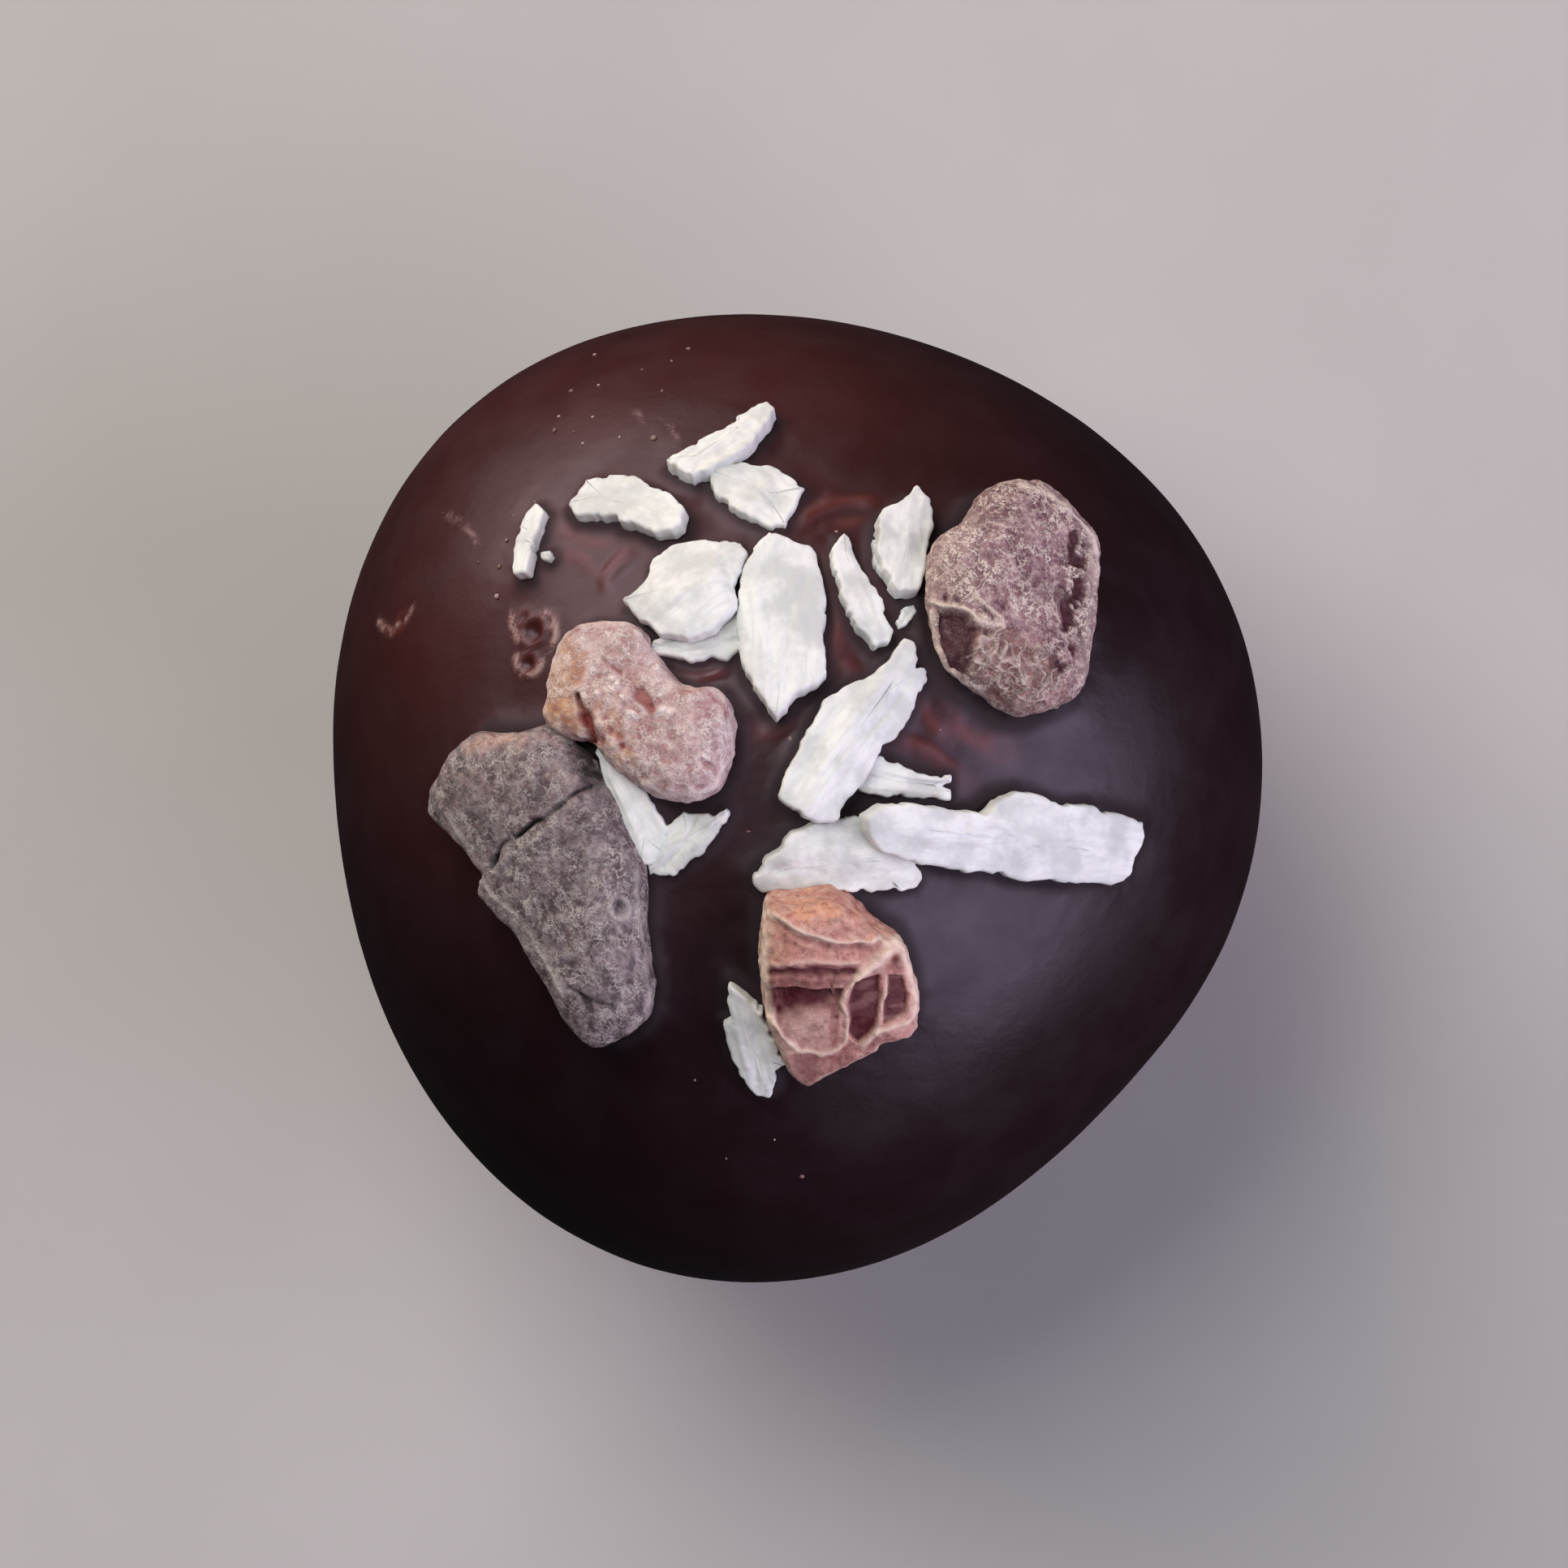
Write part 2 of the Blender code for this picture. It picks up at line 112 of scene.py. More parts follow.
# Coconut flakes. The height is that of the flake's middle over the chocolate, the slope its rise to
# the right and to the rear, the wrap the share of the ball's curve that it follows, and the crown how
# far its middle swells. A flat bevels the top: its rise to the right and to the rear, and its height
# at the place. A fold is a line on the top, with its height (below 0 for a groove) and its half width.
FLAKES = {
    "blade": {
        "place": (-0.7, 10.5), "thickness": 0.7, "height": 0.45,
        "outline": [(-2.1, -0.8), (-0.9, 0.0), (-0.1, 0.8), (0.9, 1.9), (1.4, 2.2), (1.75, 1.8),
                    (1.4, 0.8), (0.9, -0.2), (0.3, -0.9), (-0.5, -1.4), (-1.0, -1.65), (-1.6, -1.3)],
        "folds": [([(-1.6, -1.1), (0.0, 0.0), (1.2, 1.6)], 0.07, 0.2)],
    },
    "chip": {
        "place": (0.6, 8.7), "thickness": 0.55, "height": 0.3,
        "outline": [(-1.8, 0.9), (-1.0, 1.4), (0.4, 1.2), (1.1, 0.8), (1.75, 0.3), (1.4, -0.6),
                    (1.05, -1.5), (0.5, -1.5), (-0.6, -0.9), (-1.5, -0.1)],
        "flats": [(-0.25, 0.1, 0.3)],
        "folds": [([(-1.2, 0.7), (-0.1, 0.0), (0.6, -1.0)], 0.06, 0.14),
                  ([(0.2, 1.1), (0.8, 0.3), (1.0, -0.7)], -0.06, 0.12)],
    },
    "bean": {
        "place": (-3.9, 8.2), "thickness": 0.7, "height": 0.4,
        "outline": [(-2.5, 0.2), (-1.9, 1.3), (-1.0, 1.35), (0.2, 1.1), (1.5, 0.4), (2.2, -0.3),
                    (2.2, -1.0), (1.8, -1.4), (1.1, -1.3), (0.4, -0.9), (-0.3, -0.75), (-0.5, -0.5),
                    (-2.0, -0.35)],
        "folds": [([(-1.2, 0.5), (0.4, 0.3), (1.5, -0.4)], -0.06, 0.22)],
    },
    "stick": {
        "place": (-7.7, 7.2), "thickness": 0.6, "height": 0.35,
        "outline": [(-0.1, 1.6), (0.5, 1.1), (0.4, 0.2), (0.3, -0.8), (0.3, -1.4), (-0.25, -1.45),
                    (-0.4, -0.7), (-0.4, 0.8)],
    },
    "stub": {
        "place": (-7.0, 6.65), "thickness": 0.4, "height": 0.2,
        "outline": [(-0.35, 0.15), (0.1, 0.2), (0.3, -0.05), (0.1, -0.25), (-0.25, -0.15)],
    },
    "cup_under": {
        "place": (-1.1, 3.2), "thickness": 0.5, "height": 0.25, "wrap": 0.9,
        "outline": [(-2.0, -0.2), (-1.1, 0.3), (0.0, 1.4), (1.3, 1.5), (1.4, -0.4), (0.9, -0.85),
                    (0.3, -0.65), (-0.3, -0.9), (-0.9, -0.65), (-1.7, -0.55)],
        "folds": [([(-1.7, -0.3), (0.0, -0.35), (1.2, -0.1)], -0.12, 0.1)],
    },
    "cup": {
        "place": (-1.5, 4.9), "thickness": 0.6, "height": 0.85, "wrap": 1.2, "crown": 0.25,
        "outline": [(-2.5, -0.4), (-1.9, -0.02), (-1.62, 0.4), (-1.5, 1.2), (-1.1, 1.62), (-0.6, 1.8),
                    (0.0, 1.85), (0.5, 1.95), (1.0, 1.85), (1.6, 1.9), (2.0, 1.4), (1.8, 0.6), (1.55, 0.1),
                    (1.85, -0.7), (1.4, -1.3), (1.0, -1.8), (0.1, -2.0), (-0.8, -1.9), (-1.7, -1.2)],
        "flats": [(-0.42, -0.1, 0.85), (0.06, -0.3, 0.5)],
        "folds": [([(1.0, 2.0), (1.12, 1.2), (1.42, 0.4), (1.65, -0.2)], -0.16, 0.09),
                  ([(-1.5, 1.0), (-0.9, 0.2), (0.0, -0.6)], 0.05, 0.35)],
    },
    "plank": {
        "place": (1.7, 3.7), "thickness": 0.8, "height": 0.55, "wrap": 0.7,
        "outline": [(-0.5, 3.5), (0.6, 3.1), (1.1, 2.95), (1.35, 2.1), (1.65, 0.8), (1.5, -0.4),
                    (1.65, -2.0), (0.9, -2.7), (0.55, -2.75), (0.2, -3.3), (-0.2, -3.7), (-0.75, -2.9),
                    (-1.35, -2.0), (-1.65, -0.7), (-1.55, 0.7), (-1.5, 1.9), (-1.0, 2.9)],
        "flats": [(0.3, 0.02, 0.72), (-0.2, -0.1, 0.62)],
        "folds": [([(-0.3, 3.1), (-0.9, 1.6), (-0.8, 0.0), (-0.5, -1.2)], 0.06, 0.22),
                  ([(0.4, 0.6), (0.1, -0.9), (0.2, -2.4)], -0.07, 0.13),
                  ([(1.0, 1.9), (0.7, 0.9), (1.1, -0.4)], -0.05, 0.14)],
    },
    "needle": {
        "place": (4.4, 4.7), "thickness": 0.7, "height": 0.4,
        "outline": [(-0.5, 2.5), (-0.3, 2.0), (0.1, 1.0), (0.7, -0.2), (1.1, -1.4), (1.05, -1.8),
                    (0.4, -1.95), (-0.25, -1.2), (-0.75, -0.1), (-0.95, 1.0), (-1.0, 1.75)],
        "folds": [([(-0.5, 1.8), (0.0, 0.3), (0.6, -1.5)], 0.06, 0.14)],
    },
    "sliver": {
        "place": (4.95, 6.2), "thickness": 0.5, "height": 0.3,
        "outline": [(-0.15, 0.75), (0.2, 0.4), (0.25, -0.6), (0.0, -0.75), (-0.25, -0.2)],
    },
    "leaf": {
        "place": (5.8, 6.7), "thickness": 0.8, "height": 0.55, "wrap": 0.7,
        "outline": [(0.65, 2.3), (1.05, 1.8), (1.25, 1.2), (0.85, -0.1), (0.6, -1.3), (0.3, -2.1),
                    (-0.5, -2.15), (-0.95, -1.4), (-1.15, -0.4), (-0.85, 1.2), (-0.1, 1.6)],
        "flats": [(-0.3, 0.05, 0.65)],
        "folds": [([(0.5, 1.7), (0.3, 0.3), (0.1, -1.5)], -0.04, 0.22),
                  ([(-0.6, 1.0), (-0.4, -0.8)], 0.05, 0.25)],
    },
    "bit": {
        "place": (6.05, 4.1), "thickness": 0.5, "height": 0.25,
        "outline": [(-0.5, -0.3), (-0.25, 0.2), (0.3, 0.45), (0.4, 0.1), (0.0, -0.3), (-0.35, -0.55)],
    },
    "fork": {
        "place": (5.8, -1.9), "thickness": 0.5, "height": 0.3,
        "outline": [(-2.3, 0.3), (-0.8, 0.95), (0.5, 0.35), (1.35, 0.3), (1.9, 0.35), (1.9, 0.0),
                    (1.5, -0.1), (1.9, -0.2), (1.9, -0.6), (0.4, -0.6), (-1.4, -0.45)],
        "flats": [(0.05, -0.35, 0.35)],
        "folds": [([(-1.3, 0.35), (0.2, 0.05), (1.9, -0.06)], -0.16, 0.1),
                  ([(-1.6, -0.2), (1.6, -0.4)], 0.05, 0.1)],
    },
    "raft": {
        "place": (3.7, -4.6), "thickness": 0.75, "height": 0.4, "wrap": 0.9,
        "outline": [(-3.2, -0.7), (-2.8, -0.1), (-2.3, 0.2), (-2.0, 0.8), (-1.0, 1.3), (0.0, 1.55),
                    (1.1, 1.6), (2.4, 0.9), (2.9, -0.5), (2.85, -0.95), (2.2, -1.1), (0.1, -1.2),
                    (-2.8, -1.3), (-3.1, -1.05)],
        "flats": [(0.02, -0.25, 0.6), (0.05, 0.3, 0.72)],
        "folds": [([(-2.0, 0.1), (-0.6, 0.35), (0.9, 0.1)], 0.07, 0.3),
                  ([(-2.4, -0.5), (-1.3, -0.3), (-0.2, -0.75)], -0.06, 0.2)],
    },
    "oar": {
        "place": (4.1, -0.4), "thickness": 0.75, "height": 0.75, "slope": (-0.055, -0.07), "wrap": 0.7,
        "outline": [(1.95, 3.6), (2.3, 3.6), (2.5, 2.95), (2.35, 2.5), (2.65, 2.6), (2.85, 2.25),
                    (2.6, 1.75), (2.3, 1.05), (1.7, 0.1), (1.1, -0.3), (0.9, -0.8), (0.5, -1.6),
                    (-0.3, -2.4), (-0.5, -3.0), (-1.2, -3.15), (-1.9, -2.75), (-2.6, -2.2), (-2.5, -1.7),
                    (-1.6, 0.1), (-1.0, 1.3), (-0.1, 1.9), (0.8, 2.3), (1.5, 2.9)],
        "flats": [(-0.28, 0.2, 0.5), (0.35, -0.2, 0.45)],
        "folds": [([(2.3, 2.5), (1.4, 1.1), (0.5, 0.1)], -0.12, 0.12),
                  ([(1.0, 2.0), (0.0, 0.9), (-1.2, -1.2)], 0.07, 0.25),
                  ([(0.8, -0.9), (-0.3, -1.5), (-1.0, -2.7)], -0.05, 0.15)],
    },
    "long": {
        "place": (9.4, -3.7), "thickness": 0.8, "height": 0.6, "slope": (-0.065, 0.0), "wrap": 0.75,
        "outline": [(-6.0, 0.4), (-5.5, 0.8), (-4.6, 1.0), (-3.1, 1.05), (-2.2, 0.9), (-1.35, 0.85),
                    (-0.9, 1.35), (0.1, 1.75), (0.8, 1.65), (1.3, 1.55), (2.2, 1.3), (3.1, 1.4),
                    (5.1, 1.05), (6.0, 0.9), (6.1, 0.3), (5.65, -0.4), (5.6, -1.1), (4.8, -1.45),
                    (2.7, -1.45), (0.5, -1.5), (-0.5, -1.25), (-2.3, -1.3), (-3.5, -1.1), (-5.1, -0.8),
                    (-5.8, -0.2)],
        "flats": [(0.02, 0.22, 0.45), (-0.03, -0.2, 0.5)],
        "folds": [([(-4.6, -0.4), (-3.0, -0.6), (-1.4, -0.4)], -0.06, 0.25),
                  ([(-1.3, 0.8), (-0.4, 0.5), (0.4, -0.6)], 0.09, 0.28),
                  ([(-0.6, 1.2), (0.3, 0.5), (1.0, -0.5)], -0.08, 0.2),
                  ([(2.3, 1.2), (2.6, 0.2), (3.4, -0.8)], -0.06, 0.2),
                  ([(4.2, 0.7), (5.3, 0.1), (5.5, -0.7)], -0.05, 0.2)],
    },
    "wedge": {
        "place": (-3.5, -3.1), "thickness": 0.7, "height": 0.35,
        "outline": [(-1.3, 2.6), (-0.7, 2.0), (0.4, 0.9), (0.8, 0.2), (1.2, -0.4), (1.15, -1.45),
                    (0.1, -1.75), (-0.2, -1.4), (-0.5, -0.6), (-0.9, 0.1), (-1.1, 0.8)],
        "flats": [(-0.35, -0.1, 0.3)],
        "folds": [([(-0.9, 1.8), (-0.2, 0.2), (0.3, -1.3)], 0.07, 0.14)],
    },
    "fishtail": {
        "place": (-1.8, -4.0), "thickness": 0.5, "height": 0.22, "wrap": 0.9,
        "outline": [(-1.5, 0.3), (-0.6, 0.6), (0.0, 1.1), (0.4, 1.0), (1.1, 1.0), (1.6, 1.2), (1.75, 1.0),
                    (1.2, 0.2), (0.5, -0.6), (-0.4, -1.2), (-1.0, -1.3), (-1.35, -1.2)],
        "flats": [(0.2, -0.3, 0.3)],
        "folds": [([(0.4, 0.8), (0.1, 0.1), (-0.8, -0.9)], -0.1, 0.1),
                  ([(1.3, 0.9), (0.4, -0.2)], 0.06, 0.1)],
    },
    "notch": {
        "place": (0.2, -10.8), "thickness": 0.6, "height": 0.35,
        "outline": [(-0.7, 2.4), (-0.3, 2.15), (0.5, 1.35), (0.55, 0.8), (0.95, -0.2), (1.25, -0.9),
                    (0.75, -1.15), (0.85, -1.7), (0.55, -2.4), (0.1, -2.25), (-0.5, -1.4), (-0.85, -0.2),
                    (-1.0, 0.8), (-0.6, 1.0), (-0.85, 1.6)],
        "flats": [(0.3, 0.0, 0.35)],
        "folds": [([(0.1, 1.8), (0.25, 0.2), (0.1, -1.6)], -0.09, 0.12),
                  ([(-0.5, 0.6), (-0.2, -0.9)], 0.06, 0.14)],
    },
}

# Cacao nibs. The level is the height of the widest girth over the plane that touches the chocolate at
# the place, the top the height of the crown, and the fullness how boxy the crown is.
NIBS = {
    "mauve_pebble": {
        "place": (9.4, 4.8), "level": 0.95, "top": 2.5, "wrap": 0.3, "fullness": 2.5,
        "outline": [(-0.3, 4.25), (0.3, 4.5), (1.5, 4.6), (2.6, 3.85), (3.5, 2.9), (3.75, 2.0), (3.4, 0.7),
                    (3.0, -1.2), (2.6, -2.7), (2.2, -3.7), (1.4, -4.1), (0.5, -4.5), (-0.3, -4.5),
                    (-0.9, -4.3), (-1.35, -3.9), (-2.0, -3.6), (-2.85, -2.95), (-3.2, -2.2), (-3.35, -1.1),
                    (-3.4, 0.0), (-3.15, 1.5), (-2.6, 2.25), (-1.85, 2.65), (-1.35, 3.25), (-0.9, 3.85)],
        "flats": [(-0.15, 0.06, 2.35)],
    },
    "grey_club": {
        "place": (-6.3, -4.6), "level": 0.9, "top": 2.4, "wrap": 0.6, "fullness": 2.8,
        "outline": [(-2.8, 5.1), (-1.2, 4.9), (0.2, 5.2), (1.0, 4.6), (1.9, 3.8), (2.7, 1.8), (3.4, -0.3),
                    (3.0, -2.6), (2.9, -4.6), (2.4, -5.8), (1.6, -6.4), (0.4, -6.8), (-0.2, -6.3),
                    (-1.1, -3.9), (-1.8, -2.3), (-3.3, -0.7), (-2.8, 0.0), (-3.9, 1.4), (-5.1, 2.4),
                    (-4.7, 3.4), (-3.9, 4.4)],
        "flats": [(0.08, 0.04, 2.25), (0.3, 0.1, 2.6)],
    },
    "pink_kidney": {
        "place": (-3.1, 0.5), "level": 0.9, "top": 2.2, "wrap": 0.4, "fullness": 2.8,
        "outline": [(-2.3, 3.4), (-1.4, 3.45), (-0.4, 3.35), (0.1, 2.9), (0.3, 2.5), (0.7, 1.8),
                    (1.4, 1.05), (2.2, 0.7), (2.85, 0.8), (3.25, 0.3), (3.35, -0.4), (3.3, -1.3),
                    (3.15, -2.1), (2.75, -2.8), (2.0, -3.2), (1.0, -3.15), (0.3, -2.9), (-0.4, -2.4),
                    (-1.2, -1.8), (-1.7, -1.2), (-2.6, -0.8), (-3.3, -0.5), (-3.7, 0.0), (-3.5, 0.8),
                    (-3.4, 1.8), (-2.9, 2.9)],
        "flats": [(0.0, -0.08, 2.05)],
    },
    "amber_shard": {
        "place": (3.1, -8.5), "level": 1.0, "top": 2.6, "wrap": 0.3, "fullness": 3.4,
        "outline": [(-2.4, 3.2), (-1.3, 3.25), (-0.3, 3.5), (0.4, 3.2), (1.1, 2.6), (1.8, 1.95),
                    (2.5, 1.6), (2.8, 0.8), (3.1, -0.1), (3.2, -1.1), (3.2, -1.7), (2.6, -2.0),
                    (1.9, -2.1), (1.6, -2.6), (0.7, -3.1), (-0.2, -3.6), (-0.7, -4.1), (-1.1, -3.8),
                    (-1.4, -3.5), (-1.8, -2.5), (-2.3, -1.6), (-2.4, -0.4), (-2.6, 0.7), (-2.6, 2.1)],
        "flats": [(0.05, 0.2, 2.5), (-0.18, -0.12, 2.55)],
    },
}

# Melted ridges on the chocolate: points in plan, height (below 0 for a groove) and half width. The raised
# ones get a painted sheen.
RIDGES = [
    ([(-3.6, 6.9), (-4.3, 6.3), (-4.8, 5.7), (-4.7, 5.0)], 0.15, 0.34),
    ([(-3.3, 2.6), (-2.2, 2.0), (-1.0, 1.85), (0.1, 2.3)], 0.24, 0.24),
    ([(1.9, 7.4), (2.7, 8.2), (3.9, 8.6), (5.2, 8.5)], 0.16, 0.32),
    ([(3.2, 7.6), (4.0, 7.75), (4.9, 7.9)], 0.1, 0.3),
    ([(5.3, -0.3), (6.4, -0.5), (7.2, -0.9), (8.1, -1.7)], 0.12, 0.32),
    ([(2.8, 7.0), (3.4, 5.6), (3.7, 3.9), (3.5, 2.2)], 0.12, 0.28),
    ([(3.9, 2.9), (4.2, 2.2), (4.9, 2.0)], 0.1, 0.3),
    ([(-7.3, 7.2), (-6.1, 6.95), (-5.0, 6.2)], -0.09, 0.16),
    ([(-6.9, 6.8), (-5.9, 6.6), (-5.1, 5.9)], 0.06, 0.25),
    ([(-6.9, 8.0), (-5.8, 7.3), (-4.5, 7.0)], 0.06, 0.24),
    ([(0.6, -0.2), (1.6, -0.1), (2.7, 0.4)], 0.08, 0.3),
    ([(4.3, 6.3), (5.0, 5.3), (5.4, 4.3)], 0.1, 0.26),
    ([(6.4, 1.6), (6.8, 0.6), (7.6, -0.4)], 0.09, 0.34),
    ([(7.4, 0.6), (8.3, -0.2), (9.4, -0.6)], 0.06, 0.4),
    ([(-14.3, 5.2), (-13.6, 4.8), (-12.8, 5.3)], 0.07, 0.22),
]
RIDGE_TAPER = 0.8

# Bubbles that broke at the surface: place in plan, radius, and depth of the hollow. Then how wide the
# rim is, and how wide the painted sheen on it.
BUBBLES = [
    ((-7.6, 3.95), 0.5, 0.22),
    ((-7.8, 2.75), 0.36, 0.18),
    ((-8.0, 4.5), 0.24, 0.1),
    ((-7.0, 4.25), 0.26, 0.1),
    ((-13.3, 5.1), 0.3, 0.1),
]
BUBBLE_RIM = 0.13
BUBBLE_SHEEN_WIDTH = 0.16

# Pale marks on the chocolate: points in plan, half width and strength. The first three hug the broken bubbles
# and are painted glints on their rims; the rest are dry scuffs and scratches.
SCUFFS_AND_GLINTS = [
    ([(-8.55, 4.65), (-8.45, 4.2), (-8.2, 3.7)], 0.13, 0.85),
    ([(-7.2, 4.6), (-6.8, 4.15), (-6.7, 3.65), (-6.95, 3.2)], 0.12, 0.85),
    ([(-8.3, 3.05), (-8.2, 2.6), (-7.8, 2.3), (-7.4, 2.4), (-7.25, 2.75)], 0.11, 0.85),
    ([(-14.5, 5.4), (-13.8, 4.8), (-13.5, 4.95)], 0.11, 0.7),
    ([(-13.05, 5.15), (-12.85, 5.55)], 0.12, 0.7),
    ([(-11.6, 9.1), (-10.8, 8.5), (-10.1, 7.65)], 0.09, 0.4),
    ([(-4.3, 12.6), (-4.0, 12.1)], 0.09, 0.4),
    ([(-2.9, 11.9), (-2.5, 11.2)], 0.08, 0.3),
    ([(-9.6, -3.15), (-9.2, -3.8)], 0.08, 0.35),
    ([(4.2, -0.4), (5.0, 0.4), (5.5, 1.5)], 0.1, 0.3),
]

# The direction in which the chocolate is painted lighter and redder, as if lit from the rear left, and from
# where to where; the other way it is painted darker, as shade.
PAINTED_LIGHT_DIRECTION = (-0.3, 0.55, 0.8)
PAINTED_LIGHT_REACH = (0.0195, 0.0345)

# The scales of the nibs' skins, the scale and width of each of the two sizes of curling lines, and the
# scale of the noise that breaks the lines. Scales are in steps a metre.
CLOUD_SCALE = 900.0
DUST_SCALE = 3300.0
CURL_SIZES = ((1300.0, 0.035), (2300.0, 0.045))
CURL_BREAK_SCALE = 1100.0

# Tiny crumbs: places in plan that they gather round, how far they spread, and how many there are.
CRUMB_FIELDS = [
    ((-4.9, 13.4), 3.2, 14),
    ((-8.5, 8.0), 3.0, 12),
    ((3.0, 1.0), 7.0, 14),
    ((1.5, -14.0), 3.0, 4),
]
CRUMB_SEED = 5
CRUMB_SIZES = (0.04, 0.1)

# The camera and the floor. The view direction runs from the ball to the camera.
VIEW_DIRECTION = (0.13613, -0.13788, 0.98105)
VIEW_DISTANCE = 306.0
LENS = 184.0
FLOOR_SIZE = 900.0
FLOOR_STEPS = 4

# The lights: direction from the ball's middle, distance, width, height, watts and colour. One is soft
# and stands over the ball, a warm one is low at the rear left, and a violet one low at the right.
LIGHTS = {
    "key_light": ((-0.25, 0.35, 1.0), 230.0, 150.0, 150.0, 0.33, (1.0, 0.99, 0.96)),
    "rear_light": ((-0.55, 0.8, 0.4), 300.0, 300.0, 200.0, 0.68, (1.0, 0.84, 0.78)),
    "violet_light": ((0.83, -0.36, 0.36), 360.0, 460.0, 400.0, 1.9, (0.85, 0.78, 0.99)),
}
WORLD_COLOR = (0.8, 0.82, 0.88, 1.0)
WORLD_STRENGTH = 0.018


# ---- Noise and distances ----

def unit_rows(vectors):
    """Each row divided by its length."""
    return vectors / np.linalg.norm(vectors, axis=1, keepdims=True)


def smooth_step(values):
    """0 below 0, 1 above 1, and 3t^2 - 2t^3 between."""
    share = np.clip(values, 0.0, 1.0)
    return share * share * (3.0 - 2.0 * share)


def hill(distance, width):
    """A bell over a distance: exp of minus (distance / width) squared."""
    return np.exp(-(distance / width) ** 2)


def hashed(x, y, z, seed):
    """A repeatable number from 0 to 1 for each whole-number place: its coordinates mixed by primes."""
    mixed = (x * 73856093) ^ (y * 19349663) ^ (z * 83492791) ^ (seed * 26544357)
    for _ in range(2):
        mixed = mixed & 0xFFFFFFFF
        mixed = (mixed ^ (mixed >> 15)) * 739982445
    return ((mixed >> 9) & 0xFFFF) / 65535.0


def value_noise(points, pace, seed):
    """Smooth noise from -1 to 1 with `pace` lattice steps a mm: hashed corner values, eased between."""
    scaled = points * pace
    cell = np.floor(scaled)
    share = smooth_step(scaled - cell)
    cell = cell.astype(np.int64)
    total = np.zeros(len(points))
    for step in np.ndindex(2, 2, 2):
        weight = np.abs(1.0 - np.array(step) - share).prod(axis=1)
        corner = cell + np.array(step)
        total += weight * hashed(corner[:, 0], corner[:, 1], corner[:, 2], seed)
    return 2.0 * total - 1.0


def cloud(points, pace, seed, octaves=3):
    """Noise over noise: each octave has twice the pace and half the strength of the one before."""
    total = np.zeros(len(points))
    for octave in range(octaves):
        total += value_noise(points, pace * 2 ** octave, seed + octave) / 2 ** octave
    return total


def path_distance(x, y, path, closed=False):
    """Distance in the plane from each point to a line of straight stretches."""
    ends = np.array(path, float)
    starts = ends[:-1]
    ends_of_runs = ends[1:]
    if closed:
        starts = ends
        ends_of_runs = np.roll(ends, -1, axis=0)
    run = ends_of_runs - starts
    from_x = x[:, None] - starts[:, 0]
    from_y = y[:, None] - starts[:, 1]
    share = np.clip((from_x * run[:, 0] + from_y * run[:, 1]) / (run ** 2).sum(axis=1), 0.0, 1.0)
    return np.hypot(from_x - share * run[:, 0], from_y - share * run[:, 1]).min(axis=1)


def bent(path, steps):
    """An open line through a path's points, with its corners eased: each stretch is a Hermite curve
    whose slope at a point is half the run between the points on either side."""
    ends = np.array(path, float)
    slopes = np.gradient(ends, axis=0)
    places = np.linspace(0.0, len(ends) - 1.0, steps)
    before = np.minimum(places.astype(int), len(ends) - 2)
    t = (places - before)[:, None]
    start = (2.0 * t ** 3 - 3.0 * t ** 2 + 1.0) * ends[before] + (t ** 3 - 2.0 * t ** 2 + t) * slopes[before]
    finish = (3.0 * t ** 2 - 2.0 * t ** 3) * ends[before + 1] + (t ** 3 - t ** 2) * slopes[before + 1]
    return start + finish


def inside_outline(x, y, outline):
    """True where a line to the right from the point crosses the outline an odd number of times."""
    here = np.array(outline, float)
    after = np.roll(here, -1, axis=0)
    spans = (here[:, 1] > y[:, None]) != (after[:, 1] > y[:, None])
    rise = np.where(here[:, 1] == after[:, 1], 1.0, after[:, 1] - here[:, 1])
    crossing = here[:, 0] + (y[:, None] - here[:, 1]) * (after[:, 0] - here[:, 0]) / rise
    return ((x[:, None] < crossing) & spans).sum(axis=1) % 2 == 1


def edge_distance(x, y, outline):
    """Distance to a closed outline: below 0 inside it and above 0 outside."""
    distance = path_distance(x, y, outline, closed=True)
    return np.where(inside_outline(x, y, outline), -distance, distance)


# ---- The form of the chocolate ----

def lumps(directions):
    """Soft unevenness in each direction: a sum of seeded plane waves, about -1 to 1."""
    rng = np.random.default_rng(LUMP_SEED)
    waves = rng.normal(size=(3, LUMP_WAVES)) * LUMP_PACE
    phases = rng.uniform(0.0, 2.0 * math.pi, LUMP_WAVES)
    return np.sin(directions @ waves + phases).sum(axis=1) / math.sqrt(LUMP_WAVES)


def plan_radius(angles):
    """The waist's outline: a circle with a two-lobed and a three-lobed swell."""
    oval = OVAL_SWELL * np.cos(2.0 * (angles - OVAL_TURN))
    three_lobed = THREE_LOBE_SWELL * np.cos(3.0 * (angles - THREE_LOBE_TURN))
    return WAIST_RADIUS + oval + three_lobed


def coat_radius(directions):
    """Distance from the ball's middle to the chocolate: crown or base radius, easing to the waist."""
    angles = np.arctan2(directions[:, 1], directions[:, 0])
    ends = np.where(directions[:, 2] > 0.0, CROWN_RADIUS, BASE_RADIUS)
    sideways = directions[:, 0] ** 2 + directions[:, 1] ** 2
    return ends + (plan_radius(angles) - ends) * sideways + LUMP_DEPTH * lumps(directions)


def seat(x, y):
    """The point on the chocolate above a place in plan, with the outward, right and rear axes there."""
    flat = np.array((x, y)) - MIDDLE[:2]
    radius = WAIST_RADIUS
    for _ in range(SEAT_ROUNDS):
        height = math.sqrt(radius ** 2 - flat @ flat)
        outward = unit_rows(np.array([[flat[0], flat[1], height]]))
        radius = coat_radius(outward)[0]
    outward = outward[0]
    right = np.cross((0.0, 1.0, 0.0), outward)
    right /= np.linalg.norm(right)
    rear = np.cross(outward, right)
    return MIDDLE + outward * radius, outward, right, rear


